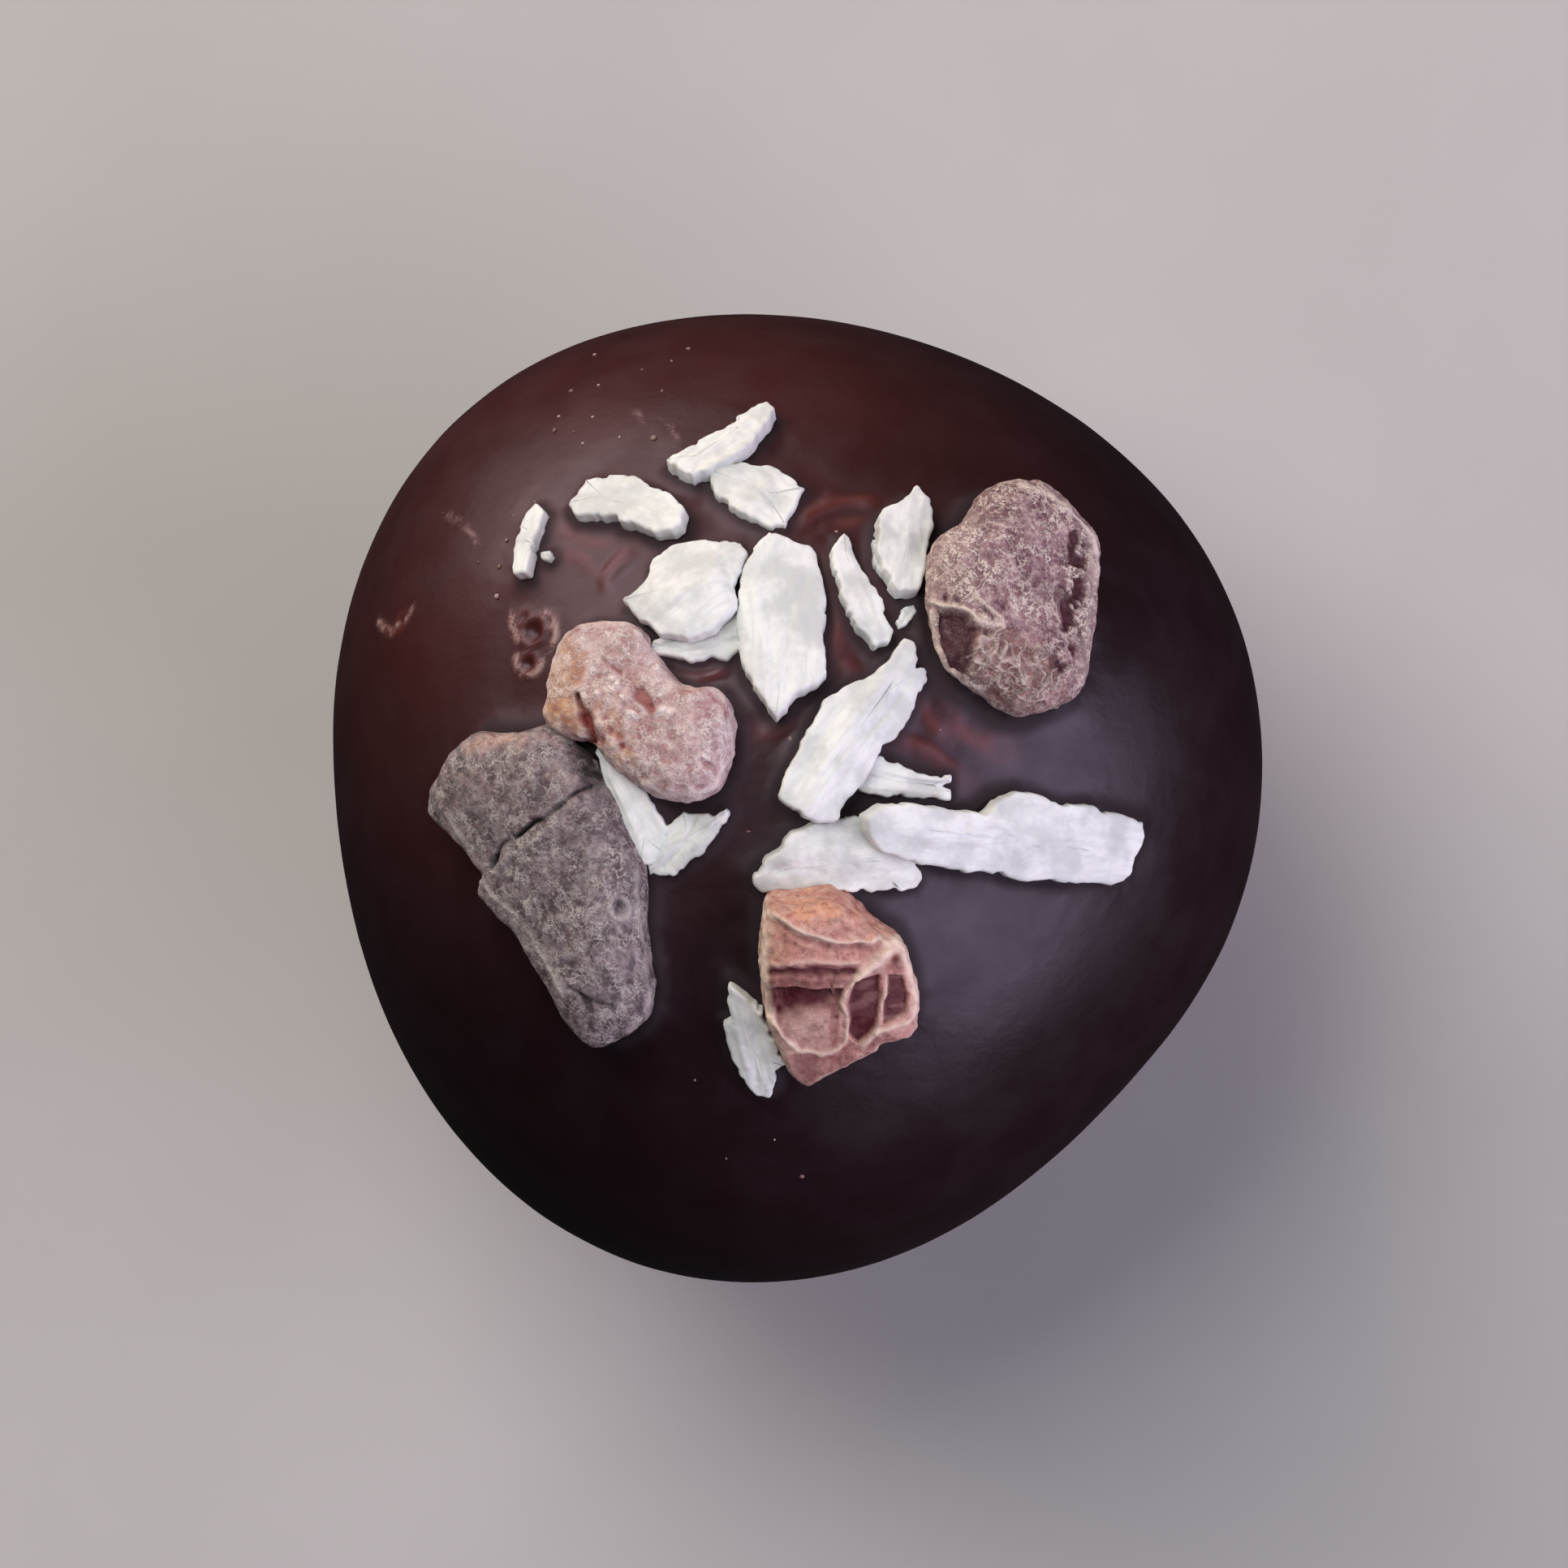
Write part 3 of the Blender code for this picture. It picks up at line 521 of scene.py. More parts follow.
def laid_out(base, to_right, to_rear, height):
    """Points at a distance to the right, to the rear and outwards from a seat."""
    point, outward, right, rear = base
    return point + np.outer(to_right, right) + np.outer(to_rear, rear) + np.outer(height, outward)


def seen_from(base, points):
    """How far points lie to the right, to the rear and outwards of a seat."""
    point, outward, right, rear = base
    offsets = points - point
    return offsets @ right, offsets @ rear, offsets @ outward


# ---- Outlines and closed shells ----

def evenly(curve, count):
    """A closed curve of complex numbers resampled at even steps of length."""
    closed = np.append(curve, curve[0])
    lengths = np.append(0.0, np.cumsum(np.abs(np.diff(closed))))
    return np.interp(np.linspace(0.0, lengths[-1], count, endpoint=False), lengths, closed), lengths[-1]


def smooth_outline(corners, softness, count):
    """A closed curve round the corners, counter-clockwise, as complex numbers. The straight sides are
    resampled evenly and blurred along their length by a bell `softness` mm wide."""
    curve = np.array(corners, float) @ np.array((1.0, 1.0j))
    area = (np.conj(curve) * np.roll(curve, -1)).imag.sum()
    if area < 0.0:
        curve = curve[::-1]
    curve, length = evenly(curve, OUTLINE_POINTS)
    paces = np.fft.fftfreq(OUTLINE_POINTS, d=length / OUTLINE_POINTS)
    curve = np.fft.ifft(np.fft.fft(curve) * np.exp(-2.0 * (math.pi * paces * softness) ** 2))
    return evenly(curve, count)[0]


def outward_normals(curve):
    """A counter-clockwise curve's tangents turned a quarter turn to the right."""
    tangents = np.roll(curve, -1) - np.roll(curve, 1)
    return -1.0j * tangents / np.abs(tangents)


def ragged(curve, depth, seed):
    """The curve moved along its normals by noise of two paces, and nicked where a third is low."""
    places = np.stack([curve.real, curve.imag, np.zeros(len(curve))], axis=1)
    wobble = 0.6 * value_noise(places, 1.7, seed) + 0.45 * value_noise(places, 4.5, seed + 1)
    nicks = smooth_step((value_noise(places, 2.6, seed + 2) - 0.35) / 0.25)
    return curve + outward_normals(curve) * depth * (wobble - 0.8 * nicks)


def long_axis(curve):
    """The middle of an outline, the direction in which it is longest, and its width over its length."""
    middle = curve.mean()
    second = ((curve - middle) ** 2).mean()
    spread = (np.abs(curve - middle) ** 2).mean()
    direction = np.exp(0.5j * np.angle(second))
    slimness = math.sqrt((spread - abs(second)) / (spread + abs(second)))
    return middle, direction, slimness


def shrunk(curve, share, axis):
    """The curve drawn in to a share of its width, and along its length by as many mm, so that it
    closes on the middle line of a long outline and not on one point."""
    middle, direction, slimness = axis
    turned = (curve - middle) / direction
    along = turned.real * (share + (1.0 - share) * (1.0 - slimness))
    return middle + direction * (along + 1.0j * turned.imag * share)


def shell_triangles(rings, around):
    """Triangles of a closed shell: rings of `around` points from the top to the underside, then the
    top point and the bottom point. Fans close the ends and two triangles fill each cell between."""
    ring, step = np.meshgrid(np.arange(rings - 1), np.arange(around), indexing="ij")
    after = (step + 1) % around
    a = (ring * around + step).ravel()
    b = (ring * around + after).ravel()
    c = ((ring + 1) * around + after).ravel()
    d = ((ring + 1) * around + step).ravel()
    bands = np.concatenate([np.stack([d, c, b], axis=1), np.stack([d, b, a], axis=1)])
    here = np.arange(around)
    after = (here + 1) % around
    top = np.stack([np.full(around, rings * around), here, after], axis=1)
    last = (rings - 1) * around
    bottom = np.stack([np.full(around, rings * around + 1), last + after, last + here], axis=1)
    return np.concatenate([bands, top, bottom])


def with_ends(rings):
    """The rings' values in one row, with the means of the first and last rings as the end points'."""
    return np.concatenate([rings.ravel(), [rings[0].mean(), rings[-1].mean()]])


def along_rings(values, around):
    """One value for each ring, repeated round it and at the end points."""
    return with_ends(np.repeat(values[:, None], around, axis=1))


def vertex_normals(points, triangles):
    """The sum of the faces' cross products round each point, made one long."""
    first, second, third = points[triangles].transpose(1, 0, 2)
    faces = np.cross(second - first, third - first)
    corners = triangles.ravel()
    sums = [np.bincount(corners, np.repeat(faces[:, axis], 3), len(points)) for axis in range(3)]
    return unit_rows(np.stack(sums, axis=1))


def smooth_lower(first, second, blend):
    """The lower of two heights, with the corner between them rounded over `blend` mm."""
    share = np.clip(0.5 + 0.5 * (second - first) / blend, 0.0, 1.0)
    return second + (first - second) * share - blend * share * (1.0 - share)


# ---- Meshes ----

def add_piece(name, points, triangles, material, attributes=None):
    """A smooth-shaded mesh object at the origin from arrays of points in mm and triangles, with its
    point attributes: name to (data type, property, array)."""
    mesh = bpy.data.meshes.new(name)
    mesh.vertices.add(len(points))
    mesh.vertices.foreach_set("co", (points * MM).astype(np.float32).ravel())
    mesh.loops.add(triangles.size)
    mesh.loops.foreach_set("vertex_index", triangles.astype(np.int32).ravel())
    mesh.polygons.add(len(triangles))
    mesh.polygons.foreach_set("loop_start", np.arange(0, triangles.size, 3, dtype=np.int32))
    mesh.polygons.foreach_set("use_smooth", np.ones(len(triangles), bool))
    mesh.update(calc_edges=True)
    for label, (kind, channel, values) in (attributes or {}).items():
        attribute = mesh.attributes.new(label, kind, "POINT")
        attribute.data.foreach_set(channel, values.astype(np.float32).ravel())
    mesh.materials.append(material)
    piece = bpy.data.objects.new(name, mesh)
    bpy.context.scene.collection.objects.link(piece)
    return piece


def zone_attribute(*masks):
    """Up to three masks as one colour attribute named zones."""
    columns = list(masks) + [np.zeros_like(masks[0])] * (3 - len(masks)) + [np.ones_like(masks[0])]
    return {"zones": ("FLOAT_COLOR", "color", np.clip(np.stack(columns, axis=1), 0.0, 1.0))}


# ---- The chocolate coat ----

def cubed_sphere(steps):
    """Directions and triangles of a cube's six faces, cut at even angles and blown up to a ball. The
    faces' shared edges are merged."""
    tangents = np.tan(np.linspace(-math.pi / 4, math.pi / 4, steps + 1))
    u, v = np.meshgrid(tangents, tangents, indexing="ij")
    one = np.ones_like(u)
    faces = [(one, u, v), (-one, v, u), (v, one, u), (u, -one, v), (u, v, one), (v, u, -one)]
    directions = unit_rows(np.concatenate([np.stack(face, axis=-1).reshape(-1, 3) for face in faces]))
    row, column = np.meshgrid(np.arange(steps), np.arange(steps), indexing="ij")
    a = (row * (steps + 1) + column).ravel()
    quads = np.stack([a, a + steps + 1, a + steps + 2, a + 1], axis=1)
    quads = np.concatenate([quads + face * (steps + 1) ** 2 for face in range(6)])
    _, first, merged = np.unique(np.round(directions, 6), axis=0, return_index=True, return_inverse=True)
    quads = merged.reshape(-1)[quads]
    return directions[first], np.concatenate([quads[:, [0, 1, 2]], quads[:, [0, 2, 3]]])


def foot_shape(directions, radius):
    """The coat's radius widened by the upright side of the foot, a slightly wavy circle, and cut by the
    floor, both eased in."""
    down = np.maximum(-directions[:, 2], 1e-3)
    sideways = np.maximum(np.hypot(directions[:, 0], directions[:, 1]), 1e-3)
    angles = np.arctan2(directions[:, 1], directions[:, 0])
    uneven = 1.0 + 0.03 * np.sin(2.0 * angles + 0.6) + 0.02 * np.sin(5.0 * angles)
    side = np.where(directions[:, 2] < -0.5, FOOT_RADIUS * uneven / sideways, 0.0)
    radius = -smooth_lower(-radius, -side, FOOT_ROUNDING)
    return smooth_lower(radius, MIDDLE[2] / down, FOOT_ROUNDING * 0.5)


def near_seat(base, points, reach):
    """Which points are within reach of a seat and on its side of the ball, and where they are."""
    to_right, to_rear, outwards = seen_from(base, points)
    near = (np.hypot(to_right, to_rear) < reach) & (outwards > -NEAR_SIDE_DEPTH)
    return near, to_right[near], to_rear[near]


def climb_height(points):
    """How far the chocolate climbs the toppings at each point, and how close the nearest one is. Each
    is an exponential of the distance to an outline. The heights join as the root of their squares'
    sum, and the closeness is the highest."""
    squares = np.zeros(len(points))
    closeness = np.zeros(len(points))
    uneven = 1.0 + 0.5 * value_noise(points, 0.9, 31)
    stuck = [(flake, FLAKE_CLIMB, FLAKE_CLIMB_WIDTH, FLAKE_SOFTNESS) for flake in FLAKES.values()]
    stuck += [(nib, NIB_CLIMB, NIB_CLIMB_WIDTH, NIB_SOFTNESS) for nib in NIBS.values()]
    for topping, climb, width, softness in stuck:
        outline = smooth_outline(topping["outline"], softness, CLIMB_OUTLINE_POINTS)
        near, x, y = near_seat(seat(*topping["place"]), points, np.abs(outline).max() + 3.0)
        away = np.maximum(edge_distance(x, y, np.stack([outline.real, outline.imag], axis=1)), 0.0)
        squares[near] += (climb * uneven[near] * np.exp(-away / width)) ** 2
        # The closeness later sets a painted shadow on the chocolate round the toppings.
        closeness[near] = np.maximum(closeness[near], np.exp(-away / CLOSENESS_REACH))
    return np.sqrt(squares), closeness


def line_on_coat(path, points):
    """Where a bent line through places in plan runs over the chocolate: which points are near it, and
    how far those are from it and from its nearer end."""
    base = seat(*path[0])
    corners = np.stack([seat(*corner)[0] for corner in path])
    line = bent(np.stack(seen_from(base, corners)[:2], axis=1), RIDGE_STEPS)
    near, x, y = near_seat(base, points, np.abs(line).max() * 1.5 + 1.5)
    from_ends = [np.hypot(x - end[0], y - end[1]) for end in (line[0], line[-1])]
    return near, path_distance(x, y, line), np.minimum(*from_ends)


def coat_relief(points):
    """How far the chocolate stands out at each point, where it carries a painted sheen, how close the
    toppings are, and where it has pale scuffs and painted glints. It climbs the toppings and carries
    ridges, which are bells across a line that taper towards its ends, broken bubbles, each a bell round
    a ring less a bell in the middle, and an unevenness that is stronger between the toppings. The
    painted sheen lies on the raised ridges and round the bubbles' rims."""
    relief, closeness = climb_height(points)
    thin = np.zeros(len(points))
    scuffs_and_glints = np.zeros(len(points))
    for path, height, width in RIDGES:
        near, away, from_ends = line_on_coat(path, points)
        uneven = 1.0 + 0.35 * value_noise(points[near], 1.3, 37)
        bell = hill(away, width * uneven) * (0.25 + 0.75 * smooth_step(from_ends / RIDGE_TAPER))
        if height > 0.0:
            relief[near] = np.hypot(relief[near], height * uneven * bell)
            # thin marks where a painted sheen goes on the raised ridges.
            thin[near] = np.maximum(thin[near], bell)
        else:
            relief[near] += height * uneven * bell
    for place, radius, depth in BUBBLES:
        near, x, y = near_seat(seat(*place), points, radius * 3.0)
        away = np.hypot(x, y)
        relief[near] += 0.5 * depth * hill(away - radius, BUBBLE_RIM) - depth * hill(away, radius * 0.7)
        # thin marks a painted sheen round the bubble's rim.
        thin[near] = np.maximum(thin[near], 0.7 * hill(away - radius, BUBBLE_SHEEN_WIDTH))
    # Pale scuffs, and painted glints round the broken bubbles.
    for path, width, strength in SCUFFS_AND_GLINTS:
        near, away, _ = line_on_coat(path, points)
        scuffs_and_glints[near] = np.maximum(scuffs_and_glints[near], strength * hill(away, width))
    relief += 0.05 * closeness * cloud(points, 0.8, 41) + 0.015 * cloud(points, 0.35, 44) + 0.02 * scuffs_and_glints
    return relief, thin, closeness, scuffs_and_glints


def make_coat():
    """The ball's radius in each direction, with the foot, and pushed out by the relief."""
    directions, triangles = cubed_sphere(COAT_STEPS)
    directions = unit_rows(directions + np.array(COAT_CROWDING))
    radius = foot_shape(directions, coat_radius(directions))
    points = MIDDLE + directions * radius[:, None]
    relief, thin, closeness, scuffs_and_glints = coat_relief(points)
    standing = smooth_step(points[:, 2] / RELIEF_FADE)
    points = points + directions * (relief * standing)[:, None]
    points[:, 2] = np.maximum(points[:, 2], 0.0)
    # The zones: the painted sheen on ridges and bubble rims, the closeness that sets the painted shadow, and
    # the pale scuffs with painted glints.
    return add_piece("chocolate_coat", points, triangles, chocolate_material(),
                     zone_attribute(thin, closeness, scuffs_and_glints))


# ---- The coconut flakes ----

def flake_rings():
    """A flake's cross-section ring by ring, with a flat top, quarter-round edges of FLAKE_ROUNDING and a
    flat underside: the share of the outline, how far it is drawn in, the side, which is 1 on the top
    and -1 on the underside, and how far the edge falls from that side's face."""
    quarter = np.linspace(0.0, math.pi / 2, FLAKE_EDGE_RINGS)
    top_shares = np.linspace(FLAKE_INNERMOST, 1.0, FLAKE_TOP_RINGS)
    under_shares = np.linspace(1.0, FLAKE_INNERMOST, FLAKE_UNDER_RINGS)
    share = np.concatenate([top_shares, np.ones(2 * FLAKE_EDGE_RINGS - 2), under_shares])
    inset = 1.0 - np.sin(quarter)
    inset = np.concatenate([np.ones(FLAKE_TOP_RINGS - 1), inset, inset[::-1], np.ones(FLAKE_UNDER_RINGS - 1)])
    drop = 1.0 - np.cos(quarter)
    drop = np.concatenate([np.zeros(FLAKE_TOP_RINGS - 1), drop])
    rise = np.concatenate([1.0 - np.cos(quarter[::-1]), np.zeros(FLAKE_UNDER_RINGS - 1)])
    side = np.concatenate([np.ones(len(drop)), -np.ones(len(rise))])
    return share, inset * FLAKE_ROUNDING, side, np.concatenate([drop, rise]) * FLAKE_ROUNDING


def flake_shell(flake, seed):
    """A thin slab with a ragged outline. Its height over the seat's plane is the flake's height and
    slope, less the wrapped share of the ball's curve, plus half the thickness on either side. The top
    is crowned, lowered to its flats, folded, and slightly uneven, with faint streaks along the fibre."""
    curve = ragged(smooth_outline(flake["outline"], FLAKE_SOFTNESS, FLAKE_AROUND), RAGGED_DEPTH, seed)
    axis = long_axis(curve)
    middle, direction, _ = axis
    share, inset, side, eased = flake_rings()
    inwards = -outward_normals(curve)
    rings = np.stack([shrunk(curve + inwards * depth, part, axis) for part, depth in zip(share, inset)])
    plan = with_ends(rings)
    side, eased, part = [along_rings(values, FLAKE_AROUND) for values in (side, eased, share)]
    x, y = plan.real, plan.imag
    fibre = (plan - middle) / direction
    streaks = value_noise(np.stack([fibre.real * 0.5, fibre.imag * 2.2, x * 0.0 + seed], axis=1), 1.6, seed)
    bumps = cloud(np.stack([x, y, x * 0.0 + seed], axis=1), 1.1, seed + 3)
    half = flake["thickness"] / 2
    crown = flake.get("crown", 0.0) * (1.0 - part ** 2)
    top = half + crown + 0.035 * streaks + 0.07 * bumps
    for rise_right, rise_rear, level in flake.get("flats", ()):
        top = smooth_lower(top, level + rise_right * x + rise_rear * y, FLAKE_FLAT_ROUNDING)
    for path, rise, width in flake.get("folds", ()):
        top = top + rise * hill(path_distance(x, y, bent(path, FOLD_STEPS)), width)
    slope_right, slope_rear = flake.get("slope", (0.0, 0.0))
    curve_drop = flake.get("wrap", FLAKE_WRAP) * (x * x + y * y) / (2.0 * WAIST_RADIUS)
    level = np.where(side > 0.0, np.maximum(top, FLAKE_THINNEST) - eased, eased - half)
    height = flake["height"] + slope_right * x + slope_rear * y - curve_drop + level
    points = laid_out(seat(*flake["place"]), x, y, height)
    fibres = np.stack([fibre.real + 9.0 * seed, fibre.imag, level], axis=1)
    return points, shell_triangles(len(share), FLAKE_AROUND), fibres


def make_flakes():
    """All the flakes, the bit and the stub as one piece."""
    shells = [flake_shell(flake, FLAKE_SEED + number) for number, flake in enumerate(FLAKES.values())]
    starts = np.cumsum([0] + [len(points) for points, _, _ in shells[:-1]])
    points = np.concatenate([points for points, _, _ in shells])
    triangles = np.concatenate([shell[1] + start for shell, start in zip(shells, starts)])
    fibres = np.concatenate([fibres for _, _, fibres in shells])
    return add_piece("coconut_flakes", points, triangles, coconut_material(),
                     {"fibre": ("FLOAT_VECTOR", "vector", fibres)})


# ---- The cacao nibs ----

def nib_section(fullness, breadth, depth):
    """The ring shares and levels of a nib's cross-section: a superellipse, sampled evenly by its length.
    A level is 1 on the crown, 0 on the widest girth and -1 on the underside."""
    turn = np.linspace(0.0, math.pi, SECTION_SAMPLES)
    share = np.sin(turn) ** (2.0 / fullness)
    level = np.sign(np.cos(turn)) * np.abs(np.cos(turn)) ** (2.0 / fullness)
    steps = np.hypot(np.diff(share * breadth), np.diff(level * depth))
    lengths = np.append(0.0, np.cumsum(steps))
    even = np.linspace(0.0, lengths[-1], NIB_RINGS + 2)[1:-1]
    return np.interp(even, lengths, share), np.interp(even, lengths, level)


def nib_shell(nib):
    """A closed pebble on its outline. The crown rises from the girth to the top, lowered to its flats,
    and the underside sinks below the chocolate all the way along. The details are drawn where a line
    in the view direction through a point meets the plane that touches the chocolate."""
    curve = smooth_outline(nib["outline"], NIB_SOFTNESS, NIB_AROUND)
    axis = long_axis(curve)
    share, level = nib_section(nib["fullness"], np.abs(curve).mean(), nib["top"])
    rings = np.stack([shrunk(curve, part, axis) for part in share])
    plan = with_ends(rings)
    level = along_rings(level, NIB_AROUND)
    x, y = plan.real, plan.imag
    curve_drop = (x * x + y * y) / (2.0 * WAIST_RADIUS)
    girth = nib["level"] - nib["wrap"] * curve_drop
    top = nib["top"] - nib["wrap"] * curve_drop
    under = NIB_UNDERSIDE - curve_drop
    height = np.where(level > 0.0, girth + (top - girth) * level, girth + (girth - under) * level)
    for rise_right, rise_rear, at_place in nib["flats"]:
        height = smooth_lower(height, at_place + rise_right * x + rise_rear * y, NIB_FLAT_ROUNDING)
    base = seat(*nib["place"])
    view = np.stack(base[1:]) @ np.array(VIEW_DIRECTION)
    drawn_x = x - height * view[1] / view[0]
    drawn_y = y - height * view[2] / view[0]
    outline = np.stack([curve.real, curve.imag], axis=1)[::2]
    edge = edge_distance(x, y, outline)
    return laid_out(base, x, y, height), shell_triangles(NIB_RINGS, NIB_AROUND), drawn_x, drawn_y, edge


def stroke(x, y, path, width):
    """A bell across a bent line: 1 on it, falling off over its half width."""
    return hill(path_distance(x, y, bent(path, STROKE_STEPS)), width)


def strokes(x, y, lines):
    """The highest of the bells across several lines, each given with its half width."""
    return np.max([stroke(x, y, path, width) for path, width in lines], axis=0)


def dot(x, y, place, radius):
    """A bell round a place."""
    return hill(np.hypot(x - place[0], y - place[1]), radius)


def dots(x, y, places, radius):
    """The highest of the bells round several places."""
    return np.max([dot(x, y, place, radius) for place in places], axis=0)


def patch(x, y, outline, softness):
    """1 inside an outline and 0 outside, eased over a softness."""
    return smooth_step(0.5 - edge_distance(x, y, outline) / softness)


# The four nibs' details, which are called alike. Each takes where the points are drawn, how far they are
# from the outline, which only two of them use, and the points themselves. Each gives the relief and the
# masks of the pale, the warm and the dark tone.

def mauve_pebble_detail(x, y, edge, points):
    """Crackled skin. A thin pale rim with a painted highlight, a grey strip and a mottled purple band run
    down the right side. At the lower left is a maroon hollow with a thin rim, painted darker at its top as
    shade, under a cream lip, and tangled strands lie below the lip's end."""
    x = x + 0.07 * value_noise(points, 2.8, 20)
    y = y + 0.07 * value_noise(points, 2.8, 19)
    grains = value_noise(points, 3.4, 26)
    mottle = smooth_step(0.5 + 1.3 * cloud(points, 2.2, 29))
    # A pale rim with a painted highlight along it.
    rim = stroke(x, y, [(1.3, 4.75), (2.3, 4.5), (3.0, 4.1), (3.85, 3.2), (4.15, 2.4), (4.0, 1.4)], 0.1)
    strip = stroke(x, y, [(4.05, 3.0), (3.95, 2.0), (3.75, 0.9), (3.2, -1.5), (2.9, -2.7)], 0.24)
    band = stroke(x, y, [(3.4, 3.1), (3.35, 1.8), (2.8, 0.1), (2.7, -0.9), (2.25, -2.2)], 0.45)
    pit = patch(x, y, [(-2.74, -0.39), (-2.1, -0.42), (-1.55, -0.6), (-1.14, -1.08), (-1.48, -1.98),
                       (-1.9, -2.96), (-2.57, -2.74), (-2.84, -1.82)], 0.22)
    shaded_pit_top = dot(x, y, (-2.1, -0.75), 0.75)
    uneven = 0.75 + 0.5 * value_noise(points, 2.2, 18)
    edge_of_lip = [(-2.93, -0.14), (-2.45, -0.26), (-1.6, -0.34), (-1.17, -0.7), (-0.75, -0.9), (-0.2, -0.91)]
    end_of_lip = [(-1.15, 0.45), (-0.79, -0.06), (-0.26, -0.5), (-0.15, -1.0)]
    lip = strokes(x, y, [(edge_of_lip, 0.13 * uneven), (end_of_lip, 0.08 * uneven)])
    lip = np.maximum(lip, dot(x, y, (-0.8, -0.72), 0.25) * smooth_step(0.6 + 2.0 * grains))
    left_rim = stroke(x, y, [(-2.93, -0.47), (-3.02, -1.56), (-2.8, -2.45), (-2.15, -3.08), (-1.33, -3.48)],
                      0.09)
    paths = [[(-0.2, -0.94), (-0.99, -1.54), (-1.79, -2.21)], [(-0.24, -1.21), (-0.78, -2.07), (-1.59, -2.8)],
             [(-0.13, -1.48), (-0.39, -2.31), (-0.93, -3.16)], [(-0.03, -1.6), (0.27, -2.66), (0.61, -3.4)],
             [(-1.28, -1.56), (-0.82, -2.34), (0.07, -3.08)], [(0.73, -1.41), (0.19, -2.26), (-0.46, -2.85)],
             [(1.09, -1.92), (1.26, -2.72), (0.86, -3.56)], [(1.92, -2.13), (1.51, -2.98), (1.72, -3.5)],
             [(0.0, -3.5), (0.7, -3.75), (1.5, -3.7)], [(-0.6, -1.4), (-0.5, -1.9), (0.1, -2.5)],
             [(0.4, -1.7), (0.7, -2.2), (1.4, -2.4)], [(-1.4, -2.3), (-0.7, -2.8), (-0.5, -3.5)]]
    swung_x = x + 0.2 * value_noise(points, 3.2, 17)
    swung_y = y + 0.2 * value_noise(points, 3.2, 16)
    strands = strokes(swung_x, swung_y, [(path, 0.07 * uneven) for path in paths])
    tangle = patch(x, y, [(-1.5, -1.3), (-0.4, -1.0), (0.9, -1.3), (2.0, -1.9), (2.2, -3.4), (0.6, -4.3),
                          (-1.0, -3.8), (-1.6, -2.8)], 0.8) * (1.0 - strands)
    places = [(-2.45, 0.05), (-1.95, 0.03), (-0.74, -0.25), (-0.02, -0.1), (-0.87, -1.2), (3.34, 1.8),
              (2.79, -0.57), (3.1, 0.6)]
    spots = sum(dot(x, y, place, 0.15) for place in places)
    relief = 0.06 * cloud(points, 0.9, 22) + 0.05 * grains + 0.03 * rim + 0.04 * strip - 0.12 * band * mottle
    relief += 0.08 * lip + 0.03 * left_rim + 0.05 * strands - 0.07 * tangle
    relief -= 0.6 * pit * (0.55 + 0.45 * shaded_pit_top) * (1.0 - 0.5 * strands) + 0.12 * spots
    pale = rim + 0.3 * strip + 1.2 * lip + 0.8 * left_rim + 0.65 * strands
    pale += 0.16 * smooth_step(-x / 2.0) * (1.0 - pit) + 0.5 * dot(x, y, (0.02, -3.9), 0.25)
    warm = 0.3 * lip + 0.3 * tangle
    dark = 1.7 * band * mottle * (1.0 - strip) + 0.9 * spots
    # The hollow's own maroon, with painted shade at its top where it would be shadowed.
    dark += pit * (0.9 + 0.3 * shaded_pit_top) * (1.0 - 0.6 * strands)
    dark += 0.6 * tangle * smooth_step(0.7 + 1.5 * grains) + 0.3 * smooth_step(-2.0 * grains - 0.3)
    return relief, pale, warm, dark * (1.0 - np.minimum(lip + left_rim + rim, 1.0))


